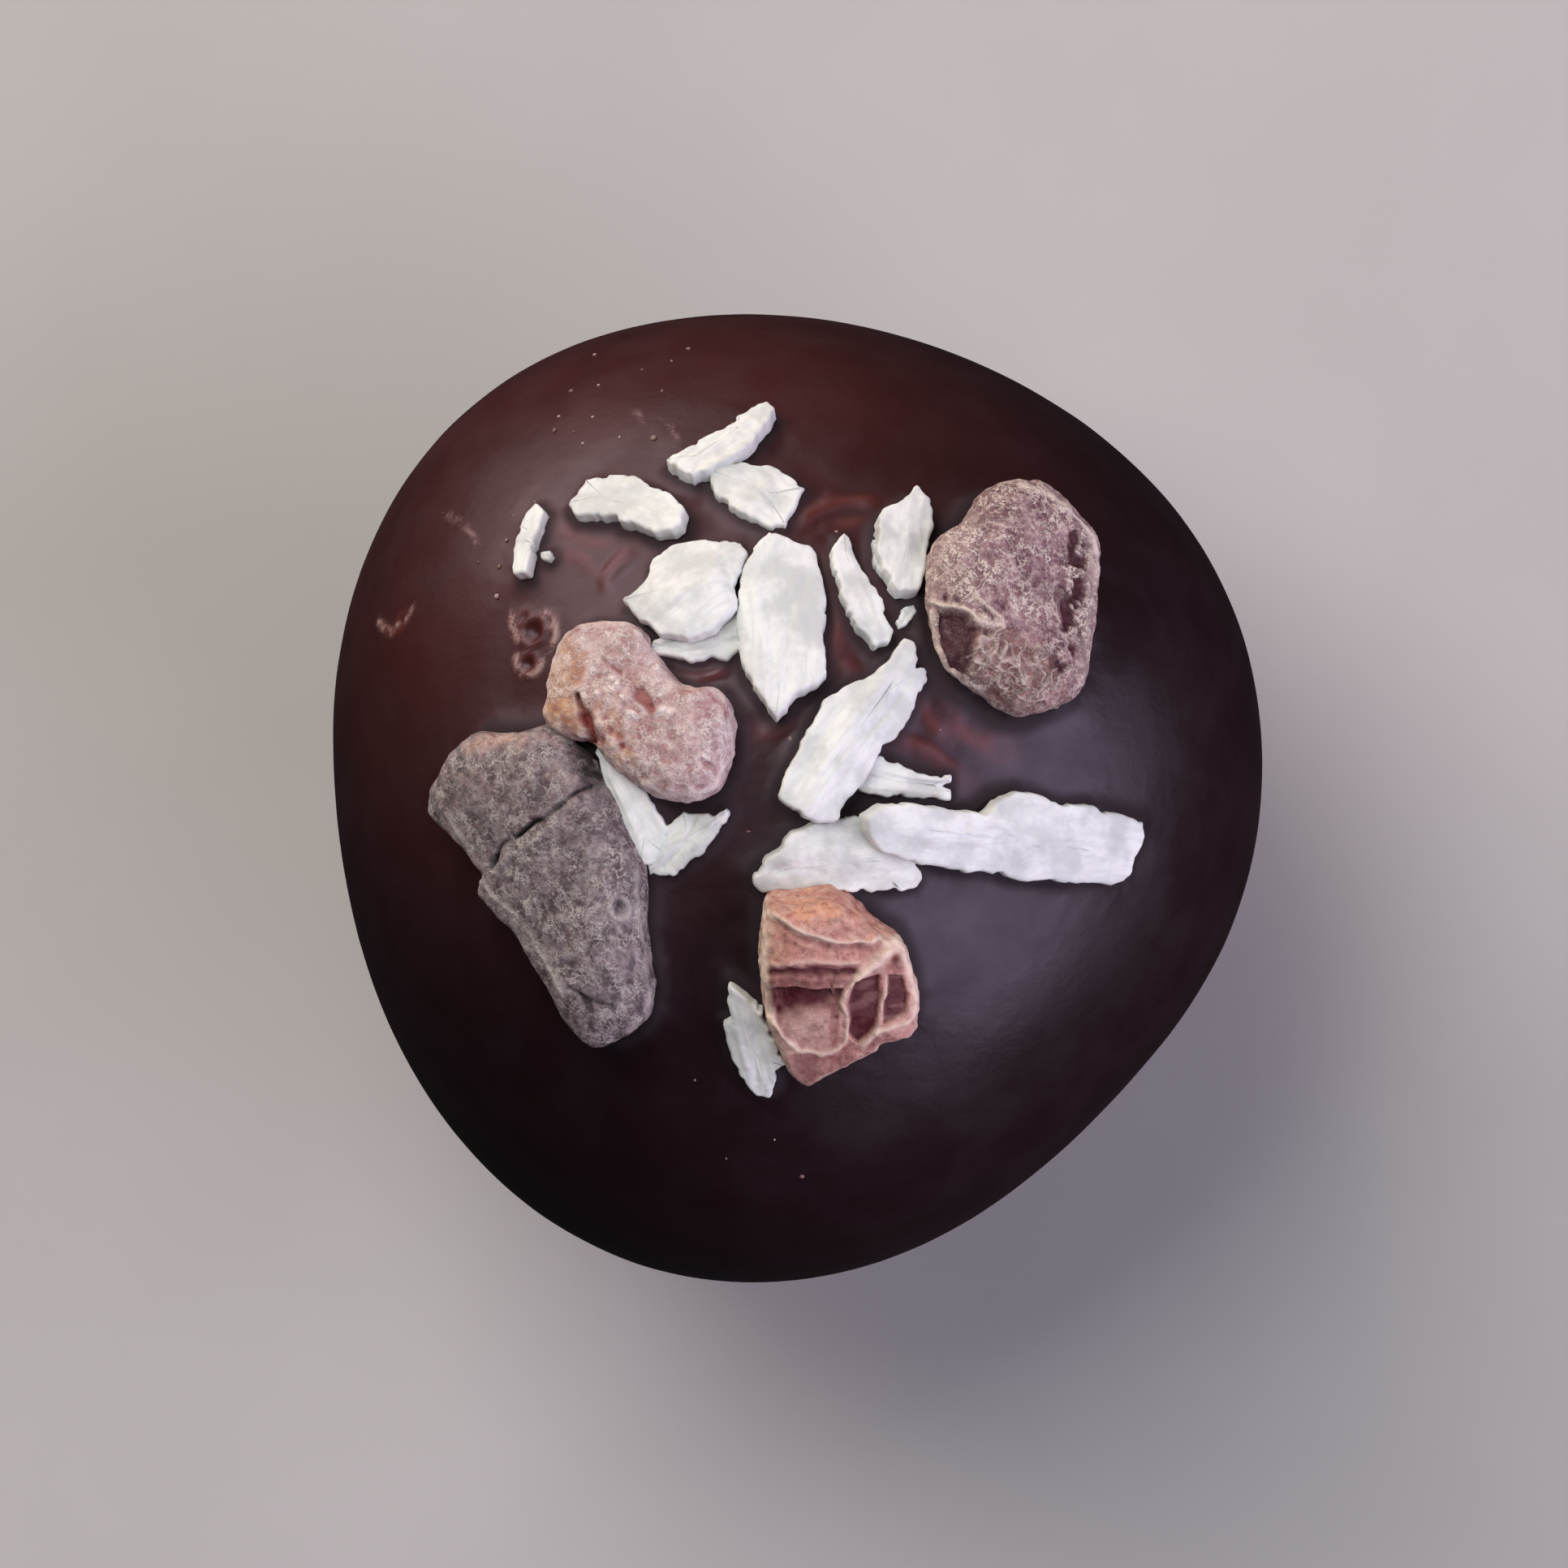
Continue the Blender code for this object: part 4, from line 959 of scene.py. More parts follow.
def grey_club_detail(x, y, edge, points):
    """Dusty skin with pale specks, a thin crack across the head with a pale shoulder, a warm patch on
    the far rim, pale rims, a knot with a bright ring, a hollow beside the pink nib painted dark as shadow,
    and a patch of painted shadow on the right side."""
    shaky = 0.1 * value_noise(points, 1.8, 50)
    crack_path = [(-3.1, 0.0), (-2.75, 0.65), (-1.75, 1.28), (-1.3, 1.42), (-0.35, 1.98), (0.35, 2.36),
                  (1.3, 2.8)]
    crack = stroke(x + shaky, y - shaky, crack_path, 0.08) * smooth_step(0.9 + value_noise(points, 1.5, 51))
    x = x + shaky
    shoulder = stroke(x, y, [(-2.95, -0.1), (-2.3, 0.45), (-1.2, 0.95), (-0.2, 1.6)], 0.13)
    wrinkles = cloud(points, 1.1, 52)
    grains = value_noise(points, 3.2, 57)
    lengthways = np.stack([3.4 * (0.97 * x + 0.22 * y), 1.4 * (0.97 * y - 0.22 * x), 0.0 * x], axis=1)
    streaks = value_noise(lengthways, 1.0, 56) + 0.5 * value_noise(lengthways, 2.1, 55)
    specks = dots(x, y, [(0.98, 0.36), (1.31, -0.8), (-0.61, -2.67), (1.43, -2.79), (-1.43, -1.25),
                         (-0.37, -3.3), (-0.5, -1.9), (1.9, -3.6), (0.5, -4.2), (-2.2, 2.2),
                         (-0.9, 3.2)], 0.14)
    rim = strokes(x, y, [([(2.72, -0.4), (2.6, -2.24), (2.72, -3.77), (2.4, -5.5), (1.39, -6.3)], 0.13),
                         ([(-4.7, 2.1), (-4.0, 0.8), (-3.5, -0.6), (-2.05, -2.25), (-0.9, -4.8)], 0.1)])
    rim = rim * smooth_step(0.8 + value_noise(points, 0.9, 58))
    warm_rim = stroke(x, y, [(-3.3, 4.5), (-2.5, 4.75), (-1.25, 4.75)], 0.3)
    # Painted shadow: the hollow beside the pink nib is painted dark.
    hollow = np.maximum(dot(x, y, (1.3, 3.75), 0.55), dot(x, y, (1.5, 3.1), 0.45))
    hollow = hollow * smooth_step(0.9 + 0.8 * value_noise(points, 2.6, 59))
    knot = dot(x, y, (1.96, -1.6), 0.22)
    ring = hill(np.hypot(x - 1.93, y + 1.75) - 0.4, 0.11) * smooth_step((-1.2 - y) / 0.4)
    groove = stroke(x, y, [(-0.6, -4.5), (0.25, -5.05), (1.1, -5.3)], 0.1)
    head = smooth_step((y - 1.4 - 0.45 * x) / 1.2)
    lower = smooth_step((-1.5 - y) / 2.0)
    relief = 0.05 * wrinkles + 0.035 * grains - 0.26 * crack + 0.07 * shoulder + 0.07 * specks + 0.05 * rim
    relief += -0.5 * hollow - 0.16 * knot + 0.09 * ring - 0.12 * groove
    pale = 0.6 * specks + 0.7 * rim + 0.35 * shoulder + 0.9 * ring + 0.25 * smooth_step(1.6 * streaks - 0.3)
    warm = 0.85 * warm_rim + 0.2 * head * smooth_step(grains + 0.3)
    dark = crack + hollow + 0.9 * knot + 0.7 * groove + 0.18 * smooth_step(-1.7 * wrinkles - 0.2)
    # The dot at (1.3, 1.3) is painted shadow on the right side; the head is a little darker.
    dark += 0.3 * dot(x, y, (1.3, 1.3), 0.9) + 0.12 * head
    dark += (0.3 + 0.3 * lower) * smooth_step(-1.8 * streaks - 0.4)
    return relief, pale * (1.0 - np.minimum(hollow + crack, 1.0)), warm, dark


def pink_kidney_detail(x, y, edge, points):
    """Speckled skin with a tan left end and an olive foot behind a crease that widens downwards, a red
    spot, crisp white specks round it, orange crumbs below, and a pale rim with a painted highlight on it."""
    x = x + 0.09 * value_noise(points, 2.4, 70)
    y = y + 0.09 * value_noise(points, 2.4, 69)
    tan = patch(x, y, [(-4.1, 0.3), (-3.9, 1.8), (-3.0, 2.7), (-2.4, 2.2), (-2.5, 0.7), (-2.7, -0.3),
                       (-3.9, -0.4)], 1.0)
    brown = stroke(x, y, [(-2.84, 2.5), (-2.77, 1.9), (-2.9, 1.3)], 0.2)
    olive = stroke(x, y, [(-3.6, 0.3), (-3.0, -0.1), (-2.5, -0.5)], 0.42)
    crease = strokes(x, y, [([(-2.68, 0.95), (-2.5, 0.44), (-2.3, 0.0)], 0.09),
                            ([(-2.38, 0.1), (-2.22, -0.3), (-2.15, -0.8)], 0.2)])
    crumbs = stroke(x, y, [(-1.75, -0.2), (-1.41, -0.75), (-0.93, -1.3)], 0.45)
    places = [(-0.93, -1.0), (-1.7, -0.84), (-1.41, -0.46), (-1.1, -0.7)]
    dark_crumbs = sum(dot(x, y, place, 0.16) for place in places)
    grains = value_noise(points, 3.0, 76)
    fine = value_noise(points, 5.0, 75)
    blotches = cloud(points, 1.5, 79)
    spot = patch(x, y, [(-0.68, 0.72), (-0.5, 1.05), (-0.15, 1.1), (0.1, 0.75), (0.28, 0.25), (0.02, 0.08),
                        (-0.2, 0.35), (-0.5, 0.5)], 0.2)
    streak = stroke(x, y, [(-1.7, 2.1), (-1.4, 1.92), (-1.05, 1.68)], 0.1) + 0.5 * dot(x, y, (-0.6, 1.5), 0.2)
    white = dots(x, y, [(-0.76, 0.08), (-0.62, 0.02), (-1.42, 1.47), (-1.41, 1.02), (-1.18, 1.24),
                        (0.34, 1.8), (0.53, 0.26), (-1.0, 0.75), (0.8, 0.1), (-1.9, 0.9)], 0.11)
    white = np.minimum(1.4 * white, 1.0)
    right = smooth_step((x - 0.1 - 0.3 * y) / 1.0)
    line = stroke(x, y, [(1.94, -1.61), (2.25, -1.85), (2.52, -2.2)], 0.07)
    red_line = stroke(x, y, [(1.2, 0.85), (2.2, 0.75), (2.7, 0.35), (2.85, -0.2)], 0.1)
    # Pale rims, with a painted highlight along the lower right edge and round the outline.
    rims = stroke(x, y, [(-0.16, -2.4), (0.48, -2.8), (1.53, -2.92), (2.4, -2.6), (2.85, -1.9)], 0.12)
    rims += 0.5 * hill(edge + 0.12, 0.14)
    red = smooth_step((blotches - 0.35) / 0.5) * (1.0 - 0.7 * right)
    relief = 0.06 * cloud(points, 1.0, 71) + 0.045 * grains + 0.02 * fine - 0.5 * crease + 0.1 * white
    relief += -0.08 * spot - 0.08 * streak - 0.12 * line + 0.05 * rims
    relief += 0.07 * crumbs * grains - 0.1 * dark_crumbs
    pale = 0.3 * smooth_step(2.0 * grains) + white + 0.5 * rims + 0.15 * smooth_step(-blotches)
    pale = pale * (1.0 - 0.5 * tan) * (1.0 - spot)
    warm = 0.55 * tan + 0.5 * brown + 0.4 * olive + 0.85 * crumbs * smooth_step(0.6 + 2.0 * fine) + 0.35 * red
    dark = 0.95 * crease + 0.8 * spot + 0.6 * streak + 0.4 * line + 0.4 * brown + 0.5 * red_line
    dark += 0.5 * olive * smooth_step(0.5 - 2.0 * grains) + 0.8 * dark_crumbs
    dark += 0.3 * red * smooth_step(2.0 * grains)
    dark += 0.2 * smooth_step(-2.2 * grains - 0.5) + 0.35 * crumbs * smooth_step(-2.5 * fine - 0.4)
    return relief, pale * (1.0 - crease), warm, dark * (1.0 - np.minimum(white, 1.0))


def amber_shard_detail(x, y, edge, points):
    """Split bean in steps from rear to front: a mottled peach top with a cream wavy edge, a peach band,
    a brown seam and ledge, a maroon crevice that fades to a smooth pink front, and a mauve tip. Two dark
    plates framed by pale lines are on its right, and a thick pale ridge stands over them."""
    x = x + 0.08 * value_noise(points, 2.2, 90)
    y = y + 0.08 * value_noise(points, 2.4, 89)
    wave = [(-2.2, 2.15), (-1.55, 1.72), (-1.05, 1.36), (-0.28, 1.15), (0.55, 1.05), (1.37, 1.17), (2.3, 1.4)]
    wave = np.interp(x, *np.transpose(wave)) + 0.1 * value_noise(points, 1.9, 91)
    left = smooth_step((1.2 - x) / 0.25)
    upper = smooth_step((y - wave) / 0.1)
    cream = hill(y - wave - 0.07, 0.1) * smooth_step((2.0 - x) / 0.4)
    shade = hill(y - wave + 0.16, 0.12) * smooth_step((1.7 - x) / 0.4)
    light_line = hill(y - 0.3 - 0.08 * value_noise(points, 2.0, 92), 0.09) * left
    seam = hill(y + 0.06, 0.17) * left
    ledge = hill(y + 0.48, 0.14) * left
    lower = np.interp(x, (-2.2, 0.6), (-2.35, -1.9)) + 0.12 * value_noise(points, 2.6, 88)
    crevice = smooth_step((-0.66 - y) / 0.14) * smooth_step((y - lower) / 1.05)
    crevice = crevice * smooth_step((0.62 - x) / 0.14) * np.interp(x, (-1.5, 0.6), (1.0, 0.7))
    front = smooth_step((-1.3 - y) / 0.5) * smooth_step((0.65 - x) / 0.2)
    tip = smooth_step((-2.95 - y - 0.25 * np.abs(x + 0.3)) / 0.25)
    plates = [[(0.98, -0.41), (1.79, -0.1), (1.92, -1.15), (1.8, -2.2), (1.19, -2.82), (0.92, -2.5),
               (0.76, -1.47)],
              [(2.14, -0.15), (2.62, -0.2), (2.86, -0.83), (2.9, -1.6), (2.5, -1.85), (2.08, -2.02),
               (2.12, -1.15)]]
    distance = np.minimum(*[edge_distance(x, y, plate) for plate in plates])
    plate = smooth_step(0.5 - distance / 0.12)
    frame_path = [(1.04, -0.26), (0.62, -0.9), (0.64, -1.47), (0.8, -2.37), (0.65, -3.0), (0.0, -3.25),
                  (-0.87, -3.15), (-1.55, -2.6), (-2.0, -1.8)]
    frames = strokes(x, y, [(frame_path, 0.085), ([(2.05, -0.1), (2.01, -1.15), (1.87, -2.35)], 0.08)])
    frames = frames * smooth_step(0.9 + value_noise(points, 1.6, 93))
    ridge = strokes(x, y, [([(2.35, 1.15), (1.95, 0.7), (1.6, 0.3)], 0.27),
                           ([(1.9, 0.65), (1.43, 0.12), (1.04, -0.26)], 0.17)])
    wedge = dot(x, y, (2.42, 0.42), 0.2)
    on_top = smooth_step(-edge / 0.4)
    right_side = [(2.3, 1.25), (2.66, 0.85), (2.85, 0.14), (3.1, -0.68), (3.15, -1.7), (2.6, -2.1),
                  (1.9, -2.35), (1.4, -2.9)]
    left_side = [(-2.4, 2.8), (-2.38, 1.2), (-2.28, -0.75), (-1.95, -2.0)]
    outer = strokes(x, y, [(right_side, 0.12), (left_side, 0.14)])
    rim = hill(edge + 0.1, 0.14)
    streaks = value_noise(np.stack([x * 3.4, y * 0.5, points[:, 2] * 0.5], axis=1), 1.0, 95)
    stripes = value_noise(np.stack([x * 0.6, y * 3.6, points[:, 2] * 3.0], axis=1), 1.2, 94)
    grain = value_noise(points, 3.5, 97)
    blotches = smooth_step(0.2 + 1.4 * cloud(points, 1.6, 98))
    rough = (1.0 - plate) * (1.0 - 0.7 * front)
    relief = 0.2 * upper + 0.08 * cream - 0.05 * shade - 0.18 * seam + 0.05 * light_line
    relief = relief - 0.32 * crevice - 0.16 * plate + 0.2 * ridge - 0.15 * wedge
    relief = relief * on_top + 0.07 * frames + 0.06 * outer + 0.04 * streaks * front + 0.03 * stripes * plate
    relief += (0.06 * cloud(points, 1.4, 96) + 0.045 * grain) * rough
    pale = 0.95 * cream + 0.75 * frames + 0.95 * ridge + 0.8 * outer + 0.5 * light_line
    pale += 0.4 * rim * (1.0 - upper)
    pale += 0.3 * front * smooth_step(0.5 + streaks) * (1.0 - tip) + 0.2 * smooth_step(2.0 * grain) * upper
    pale += 0.12 * smooth_step(2.0 * stripes) * plate
    warm = upper * (0.35 + 0.55 * blotches) + 0.35 * smooth_step((y - 0.15) / 0.2) * (1.0 - upper)
    dark = (1.1 - 0.3 * smooth_step(2.0 * stripes)) * plate + 1.2 * crevice + seam + 0.45 * ledge + wedge
    dark += 0.45 * shade + 0.22 * tip + 0.35 * upper * blotches * smooth_step(2.0 * grain)
    dark += 0.3 * hill(y + 0.25, 0.5) * left * smooth_step(2.0 * grain)
    dark += 0.2 * smooth_step(-2.0 * grain - 0.3) * rough + 0.25 * smooth_step(-2.0 * streaks) * front
    return relief, pale, warm, dark * (1.0 - np.minimum(ridge + frames + outer + cream, 1.0))


def make_nib(name, nib, detail, material):
    """The nib's shell pushed along its normals by its relief, and straight inwards where that is deep,
    with its three colour masks."""
    points, triangles, x, y, edge = nib_shell(nib)
    relief, pale, warm, dark = detail(x, y, edge, points)
    shallow = np.maximum(relief, -DEEP_RELIEF)
    inwards = np.outer(relief - shallow, seat(*nib["place"])[1])
    points = points + vertex_normals(points, triangles) * shallow[:, None] + inwards
    return add_piece(name, points, triangles, material, zone_attribute(pale, warm, dark))


# ---- Crumbs ----

def make_crumbs():
    """Tiny uneven specks on the chocolate. Each is a small shell of a few dozen faces, a circle drawn
    in by the sine and raised by the cosine of its ring's angle, with its radii drawn at random."""
    rng = np.random.default_rng(CRUMB_SEED)
    turns = np.linspace(0.0, 2.0 * math.pi, 8, endpoint=False)
    rings = np.linspace(0.2, math.pi - 0.2, 4)
    triangles = shell_triangles(len(rings), len(turns))
    all_points, all_triangles = [], []
    for (x, y), spread, count in CRUMB_FIELDS:
        for _ in range(count):
            place = np.array((x, y)) + rng.normal(size=2) * spread * 0.5
            size = rng.uniform(*CRUMB_SIZES)
            stretch = rng.uniform(0.7, 1.5, 2)
            wobble = rng.uniform(0.8, 1.2, (len(rings), len(turns)))
            to_right = with_ends(size * stretch[0] * np.outer(np.sin(rings), np.cos(turns)) * wobble)
            to_rear = with_ends(size * stretch[1] * np.outer(np.sin(rings), np.sin(turns)) * wobble)
            height = with_ends(size * 0.7 * np.outer(np.cos(rings), np.ones(len(turns))))
            height[-2:] = (size * 0.7, -size * 0.7)
            all_triangles.append(triangles + len(all_points) * len(to_right))
            all_points.append(laid_out(seat(*place), to_right, to_rear, height + size * 0.3))
    return add_piece("crumbs", np.concatenate(all_points), np.concatenate(all_triangles), crumb_material())


# ---- Materials ----

def linear(red, green, blue):
    """A colour named by its screen values, 0 to 255, as linear light."""
    share = np.array((red, green, blue)) / 255.0
    light = np.where(share <= 0.04045, share / 12.92, ((share + 0.055) / 1.055) ** 2.4)
    return (*light.tolist(), 1.0)


class Finish:
    """A material's node tree, with short calls for the nodes that it needs."""

    def __init__(self, name, **constants):
        """A new material, with values for the shader's sockets. A _ stands for a space in their names."""
        self.material = bpy.data.materials.new(name)
        self.material.use_nodes = True
        self.tree = self.material.node_tree
        self.shader = self.tree.nodes["Principled BSDF"]
        for socket, value in constants.items():
            self.shader.inputs[socket.replace("_", " ")].default_value = value

    def node(self, kind, inputs, **settings):
        """A shader node with its settings, and each input a value or another node's output."""
        item = self.tree.nodes.new("ShaderNode" + kind)
        for setting, value in settings.items():
            setattr(item, setting, value)
        for socket, value in inputs.items():
            if isinstance(value, bpy.types.NodeSocket):
                self.tree.links.new(value, item.inputs[socket])
            else:
                item.inputs[socket].default_value = value
        return item

    def place(self):
        """The piece's own coordinates, in metres."""
        return self.node("TexCoord", {}).outputs["Object"]

    def attribute(self, name, output):
        """A point attribute of the piece, as one of the node's outputs."""
        return self.node("Attribute", {}, attribute_name=name).outputs[output]

    def zones(self):
        """The piece's three colour masks."""
        return self.node("SeparateColor", {"Color": self.attribute("zones", "Color")}).outputs

    def stretched(self, vector, scale):
        """Coordinates times a scale on each axis."""
        return self.node("Mapping", {"Vector": vector, "Scale": scale}).outputs["Vector"]

    def noise(self, vector, scale, detail=3.0, roughness=0.55):
        """Noise over noise, about 0.2 to 0.8. The scale is in steps a metre."""
        inputs = {"Vector": vector, "Scale": scale, "Detail": detail, "Roughness": roughness}
        return self.node("TexNoise", inputs).outputs["Fac"]

    def wavy(self, vector, scale, reach):
        """Coordinates moved about by noise over a reach."""
        swing = self.node("TexNoise", {"Vector": vector, "Scale": scale, "Detail": 2.0}).outputs["Color"]
        inputs = {0: swing, 1: (reach,) * 3, 2: vector}
        return self.node("VectorMath", inputs, operation="MULTIPLY_ADD").outputs[0]

    def curls(self, vector, scale, width):
        """Thin curling lines, 1 on them: where noise is within a width of its middle value."""
        swell = self.noise(self.wavy(vector, scale * 0.6, 0.5 / scale), scale, 4.0, 0.6)
        away = self.math("ABSOLUTE", self.math("SUBTRACT", swell, 0.5), 0.0)
        return self.between(away, width * 0.3, width, 1.0, 0.0)

    def between(self, value, low, high, to_low=0.0, to_high=1.0):
        """A value's range mapped smoothly to another."""
        inputs = {"Value": value, 1: low, 2: high, 3: to_low, 4: to_high}
        return self.node("MapRange", inputs, interpolation_type="SMOOTHSTEP").outputs["Result"]

    def mix(self, share, first, second):
        """Two colours mixed by a share."""
        return self.node("Mix", {0: share, 6: first, 7: second}, data_type="RGBA").outputs[2]

    def math(self, operation, first, second):
        """One operation on two values."""
        return self.node("Math", {0: first, 1: second}, operation=operation).outputs[0]

    def times(self, first, second):
        """Two values multiplied."""
        return self.math("MULTIPLY", first, second)

    def bumps(self, height, depth, normal=None):
        """A bump `depth` metres high."""
        inputs = {"Height": height, "Distance": depth, "Strength": 1.0}
        if normal is not None:
            inputs["Normal"] = normal
        return self.node("Bump", inputs).outputs["Normal"]

    def connect(self, **outputs):
        """The shader's inputs linked to outputs, and the finished material."""
        for socket, output in outputs.items():
            self.tree.links.new(output, self.shader.inputs[socket.replace("_", " ")])
        return self.material


def chocolate_material():
    """Satin dark chocolate: browns in soft clouds, painted lighter and redder up to the rear left as if lit
    there and darker to the front as shade, with a painted sheen on the ridges and bubble rims, painted
    shadow round the toppings, pale dry scuffs with painted glints round the broken bubbles, an uneven
    gloss, fine pores and hair scratches."""
    finish = Finish("dark_chocolate", IOR=1.5, Specular_Tint=(0.96, 0.86, 1.0, 1.0))
    place = finish.place()
    thin, closeness, scuffs_and_glints = finish.zones()
    # Painted light and shade: lighter and redder up to the rear left, darker to the front and the foot.
    along = finish.node("VectorMath", {0: place, 1: PAINTED_LIGHT_DIRECTION}, operation="DOT_PRODUCT")
    painted_light = finish.between(along.outputs["Value"], *PAINTED_LIGHT_REACH)
    clouds = finish.noise(place, 160.0)
    fine = finish.noise(place, 2600.0, 4.0)
    color = finish.mix(painted_light, linear(27, 11, 14), linear(65, 27, 24))
    color = finish.mix(finish.between(clouds, 0.35, 0.65, 0.0, 0.3), color, linear(32, 14, 14))
    # Painted sheen: ridges and bubble rims lighter and redder, as if lit.
    color = finish.mix(finish.times(thin, 0.6), color, linear(100, 48, 42))
    # Painted shadow: darker round the toppings, where they would shade the chocolate.
    color = finish.mix(finish.between(closeness, 0.6, 0.97, 0.0, 0.75), color, linear(22, 10, 10))
    # Pale dry scuffs, and painted glints on the rims of the broken bubbles.
    patchy = finish.times(scuffs_and_glints, finish.between(fine, 0.4, 0.56, 0.15, 1.0))
    color = finish.mix(patchy, color, linear(176, 142, 136))
    hairs = finish.noise(finish.stretched(place, (90.0, 2400.0, 300.0)), 1.0, 2.0)
    gloss = finish.noise(place, 420.0, 3.0)
    roughness = finish.math("ADD", finish.between(gloss, 0.3, 0.7, 0.37, 0.48),
                            finish.between(closeness, 0.6, 0.96, 0.0, 0.3))
    normal = finish.bumps(fine, 0.000012)
    normal = finish.bumps(hairs, 0.000004, normal)
    normal = finish.bumps(patchy, 0.00004, normal)
    return finish.connect(Base_Color=color, Roughness=roughness, Normal=normal)


def coconut_material():
    """White dried coconut: soft grey mottling, faint streaks along the fibre, a little light passing
    through, dull."""
    finish = Finish("coconut", Subsurface_Weight=0.15, Subsurface_Scale=0.0005, IOR=1.4)
    fibre = finish.attribute("fibre", "Vector")
    place = finish.place()
    streaks = finish.noise(finish.stretched(fibre, (0.9, 4.0, 4.0)), 1.0, 3.0)
    mottle = finish.noise(place, 620.0, 4.0, 0.6)
    grain = finish.noise(place, 3200.0, 2.0)
    color = finish.mix(finish.between(mottle, 0.35, 0.62), linear(200, 202, 198), linear(232, 233, 228))
    color = finish.mix(finish.between(streaks, 0.4, 0.7, 0.0, 0.45), color, linear(198, 200, 196))
    normal = finish.bumps(mottle, 0.00007)
    normal = finish.bumps(grain, 0.000012, normal)
    roughness = finish.between(mottle, 0.3, 0.7, 0.45, 0.65)
    return finish.connect(Base_Color=color, Roughness=roughness, Normal=normal)


def nib_material(name, colors, roughness, curl):
    """Bean skin or flesh: two ground tones in clouds and fine grain under pale curling lines of two
    sizes, then the warm, the pale and the dark tone where the piece's zones say. Curl is how strong
    the lines are."""
    low, high, pale_tone, warm_tone, dark_tone = colors
    finish = Finish(name, IOR=1.4)
    place = finish.place()
    pale, warm, dark = finish.zones()
    clouds = finish.noise(place, CLOUD_SCALE, 4.0, 0.65)
    dust = finish.noise(place, DUST_SCALE, 3.0, 0.65)
    curls = finish.math("MAXIMUM", *[finish.curls(place, scale, width) for scale, width in CURL_SIZES])
    broken = finish.between(finish.noise(place, CURL_BREAK_SCALE, 2.0), 0.36, 0.6, 0.2, 1.0)
    curls = finish.times(curls, broken)
    color = finish.mix(finish.between(clouds, 0.38, 0.62), low, high)
    color = finish.mix(warm, color, warm_tone)
    color = finish.mix(finish.between(dust, 0.5, 0.66, 0.0, 0.2 + 0.35 * curl), color, pale_tone)
    color = finish.mix(finish.between(dust, 0.34, 0.48, 0.45, 0.0), color, dark_tone)
    color = finish.mix(finish.times(curls, curl), color, pale_tone)
    color = finish.mix(finish.times(pale, finish.between(dust, 0.3, 0.6, 0.7, 1.0)), color, pale_tone)
    color = finish.mix(finish.times(dark, finish.between(dust, 0.3, 0.6, 0.86, 1.0)), color, dark_tone)
    normal = finish.bumps(dust, 0.00004)
    normal = finish.bumps(clouds, 0.00008, normal)
    normal = finish.bumps(curls, 0.00006 * curl, normal)
    rough = finish.between(dark, 0.0, 1.0, *roughness)
    return finish.connect(Base_Color=color, Roughness=rough, Normal=normal)


def crumb_material():
    """Cocoa dust and coconut dust: beige to brown, by the place on the ball."""
    finish = Finish("crumbs", IOR=1.4)
    tone = finish.noise(finish.place(), 700.0, 1.0)
    color = finish.mix(finish.between(tone, 0.4, 0.6), linear(128, 98, 92), linear(184, 164, 156))
    return finish.connect(Base_Color=color, Roughness=finish.between(tone, 0.3, 0.7, 0.5, 0.8))


def floor_material():
    """Pale matt board with a very faint mottle."""
    finish = Finish("pale_floor", IOR=1.4)
    mottle = finish.noise(finish.place(), 60.0)
    color = finish.mix(finish.between(mottle, 0.3, 0.7), linear(180, 178, 175), linear(184, 182, 179))
    return finish.connect(Base_Color=color, Roughness=finish.between(mottle, 0.3, 0.7, 0.7, 0.8))


# ---- Floor, lights and camera ----

def make_floor():
    """A square grid on the floor plane."""
    count = FLOOR_STEPS + 1
    line = np.linspace(-FLOOR_SIZE / 2, FLOOR_SIZE / 2, count)
    x, y = np.meshgrid(line, line, indexing="ij")
    points = np.stack([x.ravel(), y.ravel(), np.zeros(x.size)], axis=1)
    row, column = np.meshgrid(np.arange(FLOOR_STEPS), np.arange(FLOOR_STEPS), indexing="ij")
    a = (row * count + column).ravel()
    triangles = np.concatenate([np.stack([a, a + count, a + count + 1], axis=1),
                                np.stack([a, a + count + 1, a + 1], axis=1)])
    return add_piece("floor", points, triangles, floor_material())


def add_softbox(name, direction, distance, width, height, watts, color):
    """A flat light in a direction from the ball's middle, facing it."""
    light = bpy.data.lights.new(name, "AREA")
    light.shape = "RECTANGLE"
    light.size = width * MM
    light.size_y = height * MM
    light.energy = watts
    light.color = color
    lamp = bpy.data.objects.new(name, light)
    towards = Vector(direction).normalized()
    lamp.location = Vector(MIDDLE * MM) + towards * distance * MM
    lamp.rotation_euler = towards.to_track_quat("Z", "Y").to_euler()
    bpy.context.scene.collection.objects.link(lamp)


def add_lights():
    """The softboxes, and a faint light from all round."""
    for name, softbox in LIGHTS.items():
        add_softbox(name, *softbox)
    world = bpy.data.worlds.new("studio")
    world.use_nodes = True
    background = world.node_tree.nodes["Background"]
    background.inputs["Color"].default_value = WORLD_COLOR
    background.inputs["Strength"].default_value = WORLD_STRENGTH
    bpy.context.scene.world = world


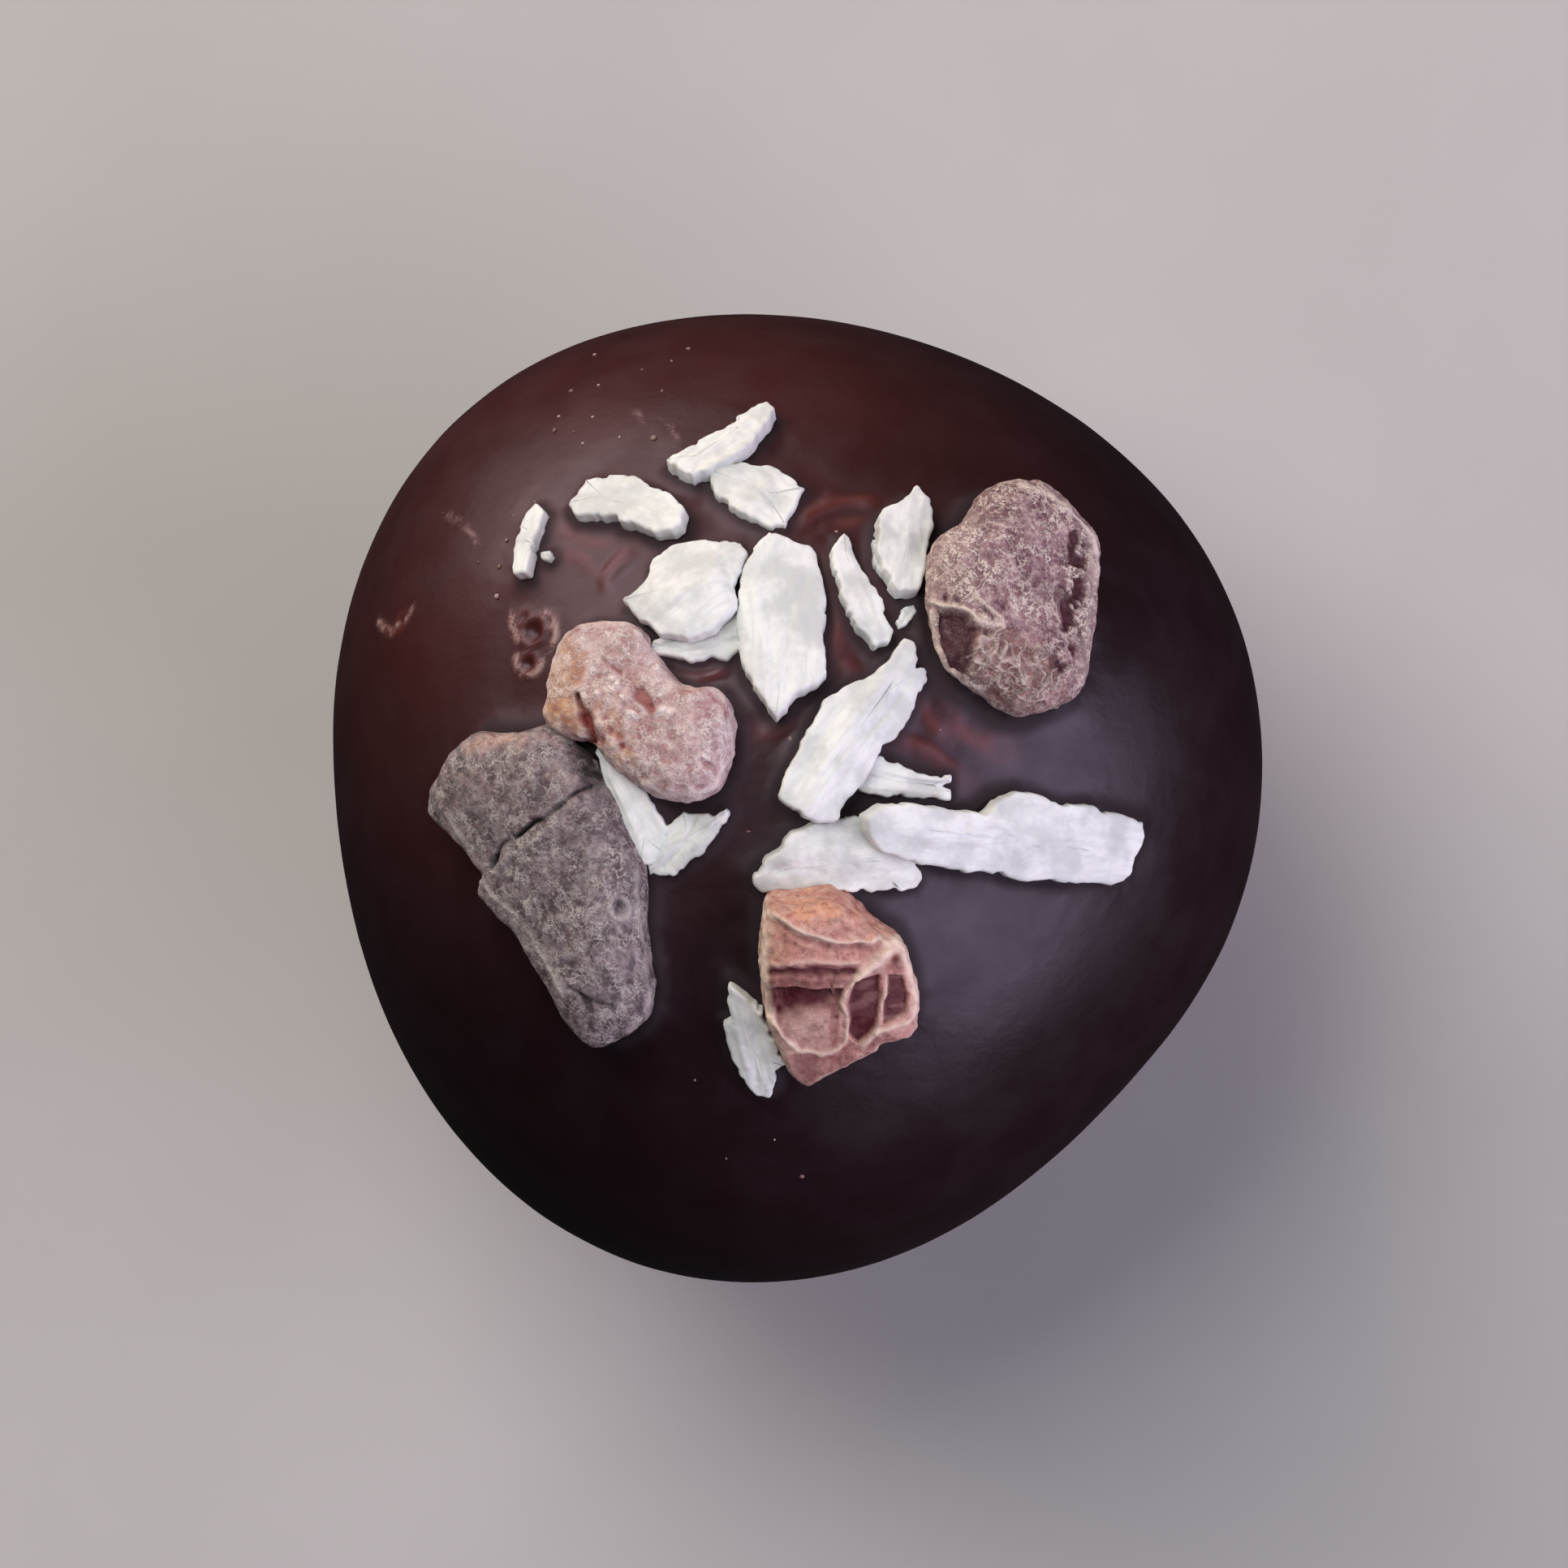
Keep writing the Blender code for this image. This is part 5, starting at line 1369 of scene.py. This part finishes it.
def add_camera():
    """A long lens looking at the ball's middle, with the rear of the ball up in the picture."""
    camera = bpy.data.cameras.new("camera")
    camera.lens = LENS
    camera.dof.use_dof = False
    eye = bpy.data.objects.new("camera", camera)
    forwards = -Vector(VIEW_DIRECTION).normalized()
    right = forwards.cross(Vector((0.0, 1.0, 0.0))).normalized()
    up = right.cross(forwards)
    turn = Matrix((right, up, -forwards)).transposed().to_4x4()
    eye.matrix_world = Matrix.Translation(Vector(MIDDLE * MM) - forwards * VIEW_DISTANCE * MM) @ turn
    bpy.context.scene.collection.objects.link(eye)
    bpy.context.scene.camera = eye


# ---- The whole ----

# Each nib's details, slot, roughness of its skin and of its dark places, strength of its curling
# lines, and its five tones: two ground tones, pale, warm and dark.
NIB_FINISHES = {
    "mauve_pebble": (mauve_pebble_detail, "mauve_nib", (0.75, 0.6), 0.85, [
        (106, 73, 80), (150, 117, 120), (216, 198, 186), (204, 150, 112), (66, 24, 34)]),
    "grey_club": (grey_club_detail, "grey_nib", (0.8, 0.8), 0.7, [
        (96, 79, 83), (130, 113, 117), (190, 180, 174), (198, 160, 146), (34, 26, 30)]),
    "pink_kidney": (pink_kidney_detail, "pink_nib", (0.75, 0.7), 0.5, [
        (160, 127, 126), (190, 161, 158), (230, 216, 208), (196, 154, 116), (128, 46, 42)]),
    "amber_shard": (amber_shard_detail, "amber_nib", (0.65, 0.6), 0.08, [
        (160, 104, 98), (190, 138, 128), (232, 208, 188), (206, 148, 120), (76, 18, 28)]),
}


def main():
    """Every piece on its body, with the solid that it replaces hidden and each nib's finish named after its
    slot, then the stage, the lights and the camera.
    """
    bpy.context.scene.view_settings.view_transform = "Standard"
    coat = make_coat()
    flakes = make_flakes()
    crumbs = make_crumbs()
    for piece, slot in ((coat, "dark_chocolate"), (flakes, "coconut"), (crumbs, "coconut")):
        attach(piece, "root")
        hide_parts("energy_ball")
    for name, (detail, slot, roughness, curl, colors) in NIB_FINISHES.items():
        material = nib_material(slot, [linear(*color) for color in colors], roughness, curl)
        nib = make_nib(name, NIBS[name], detail, material)
        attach(nib, "root")
        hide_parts("nib_" + name)
    floor = make_floor()
    floor.visible_glossy = False  # the chocolate's rim would turn grey
    add_lights()
    add_camera()


main()
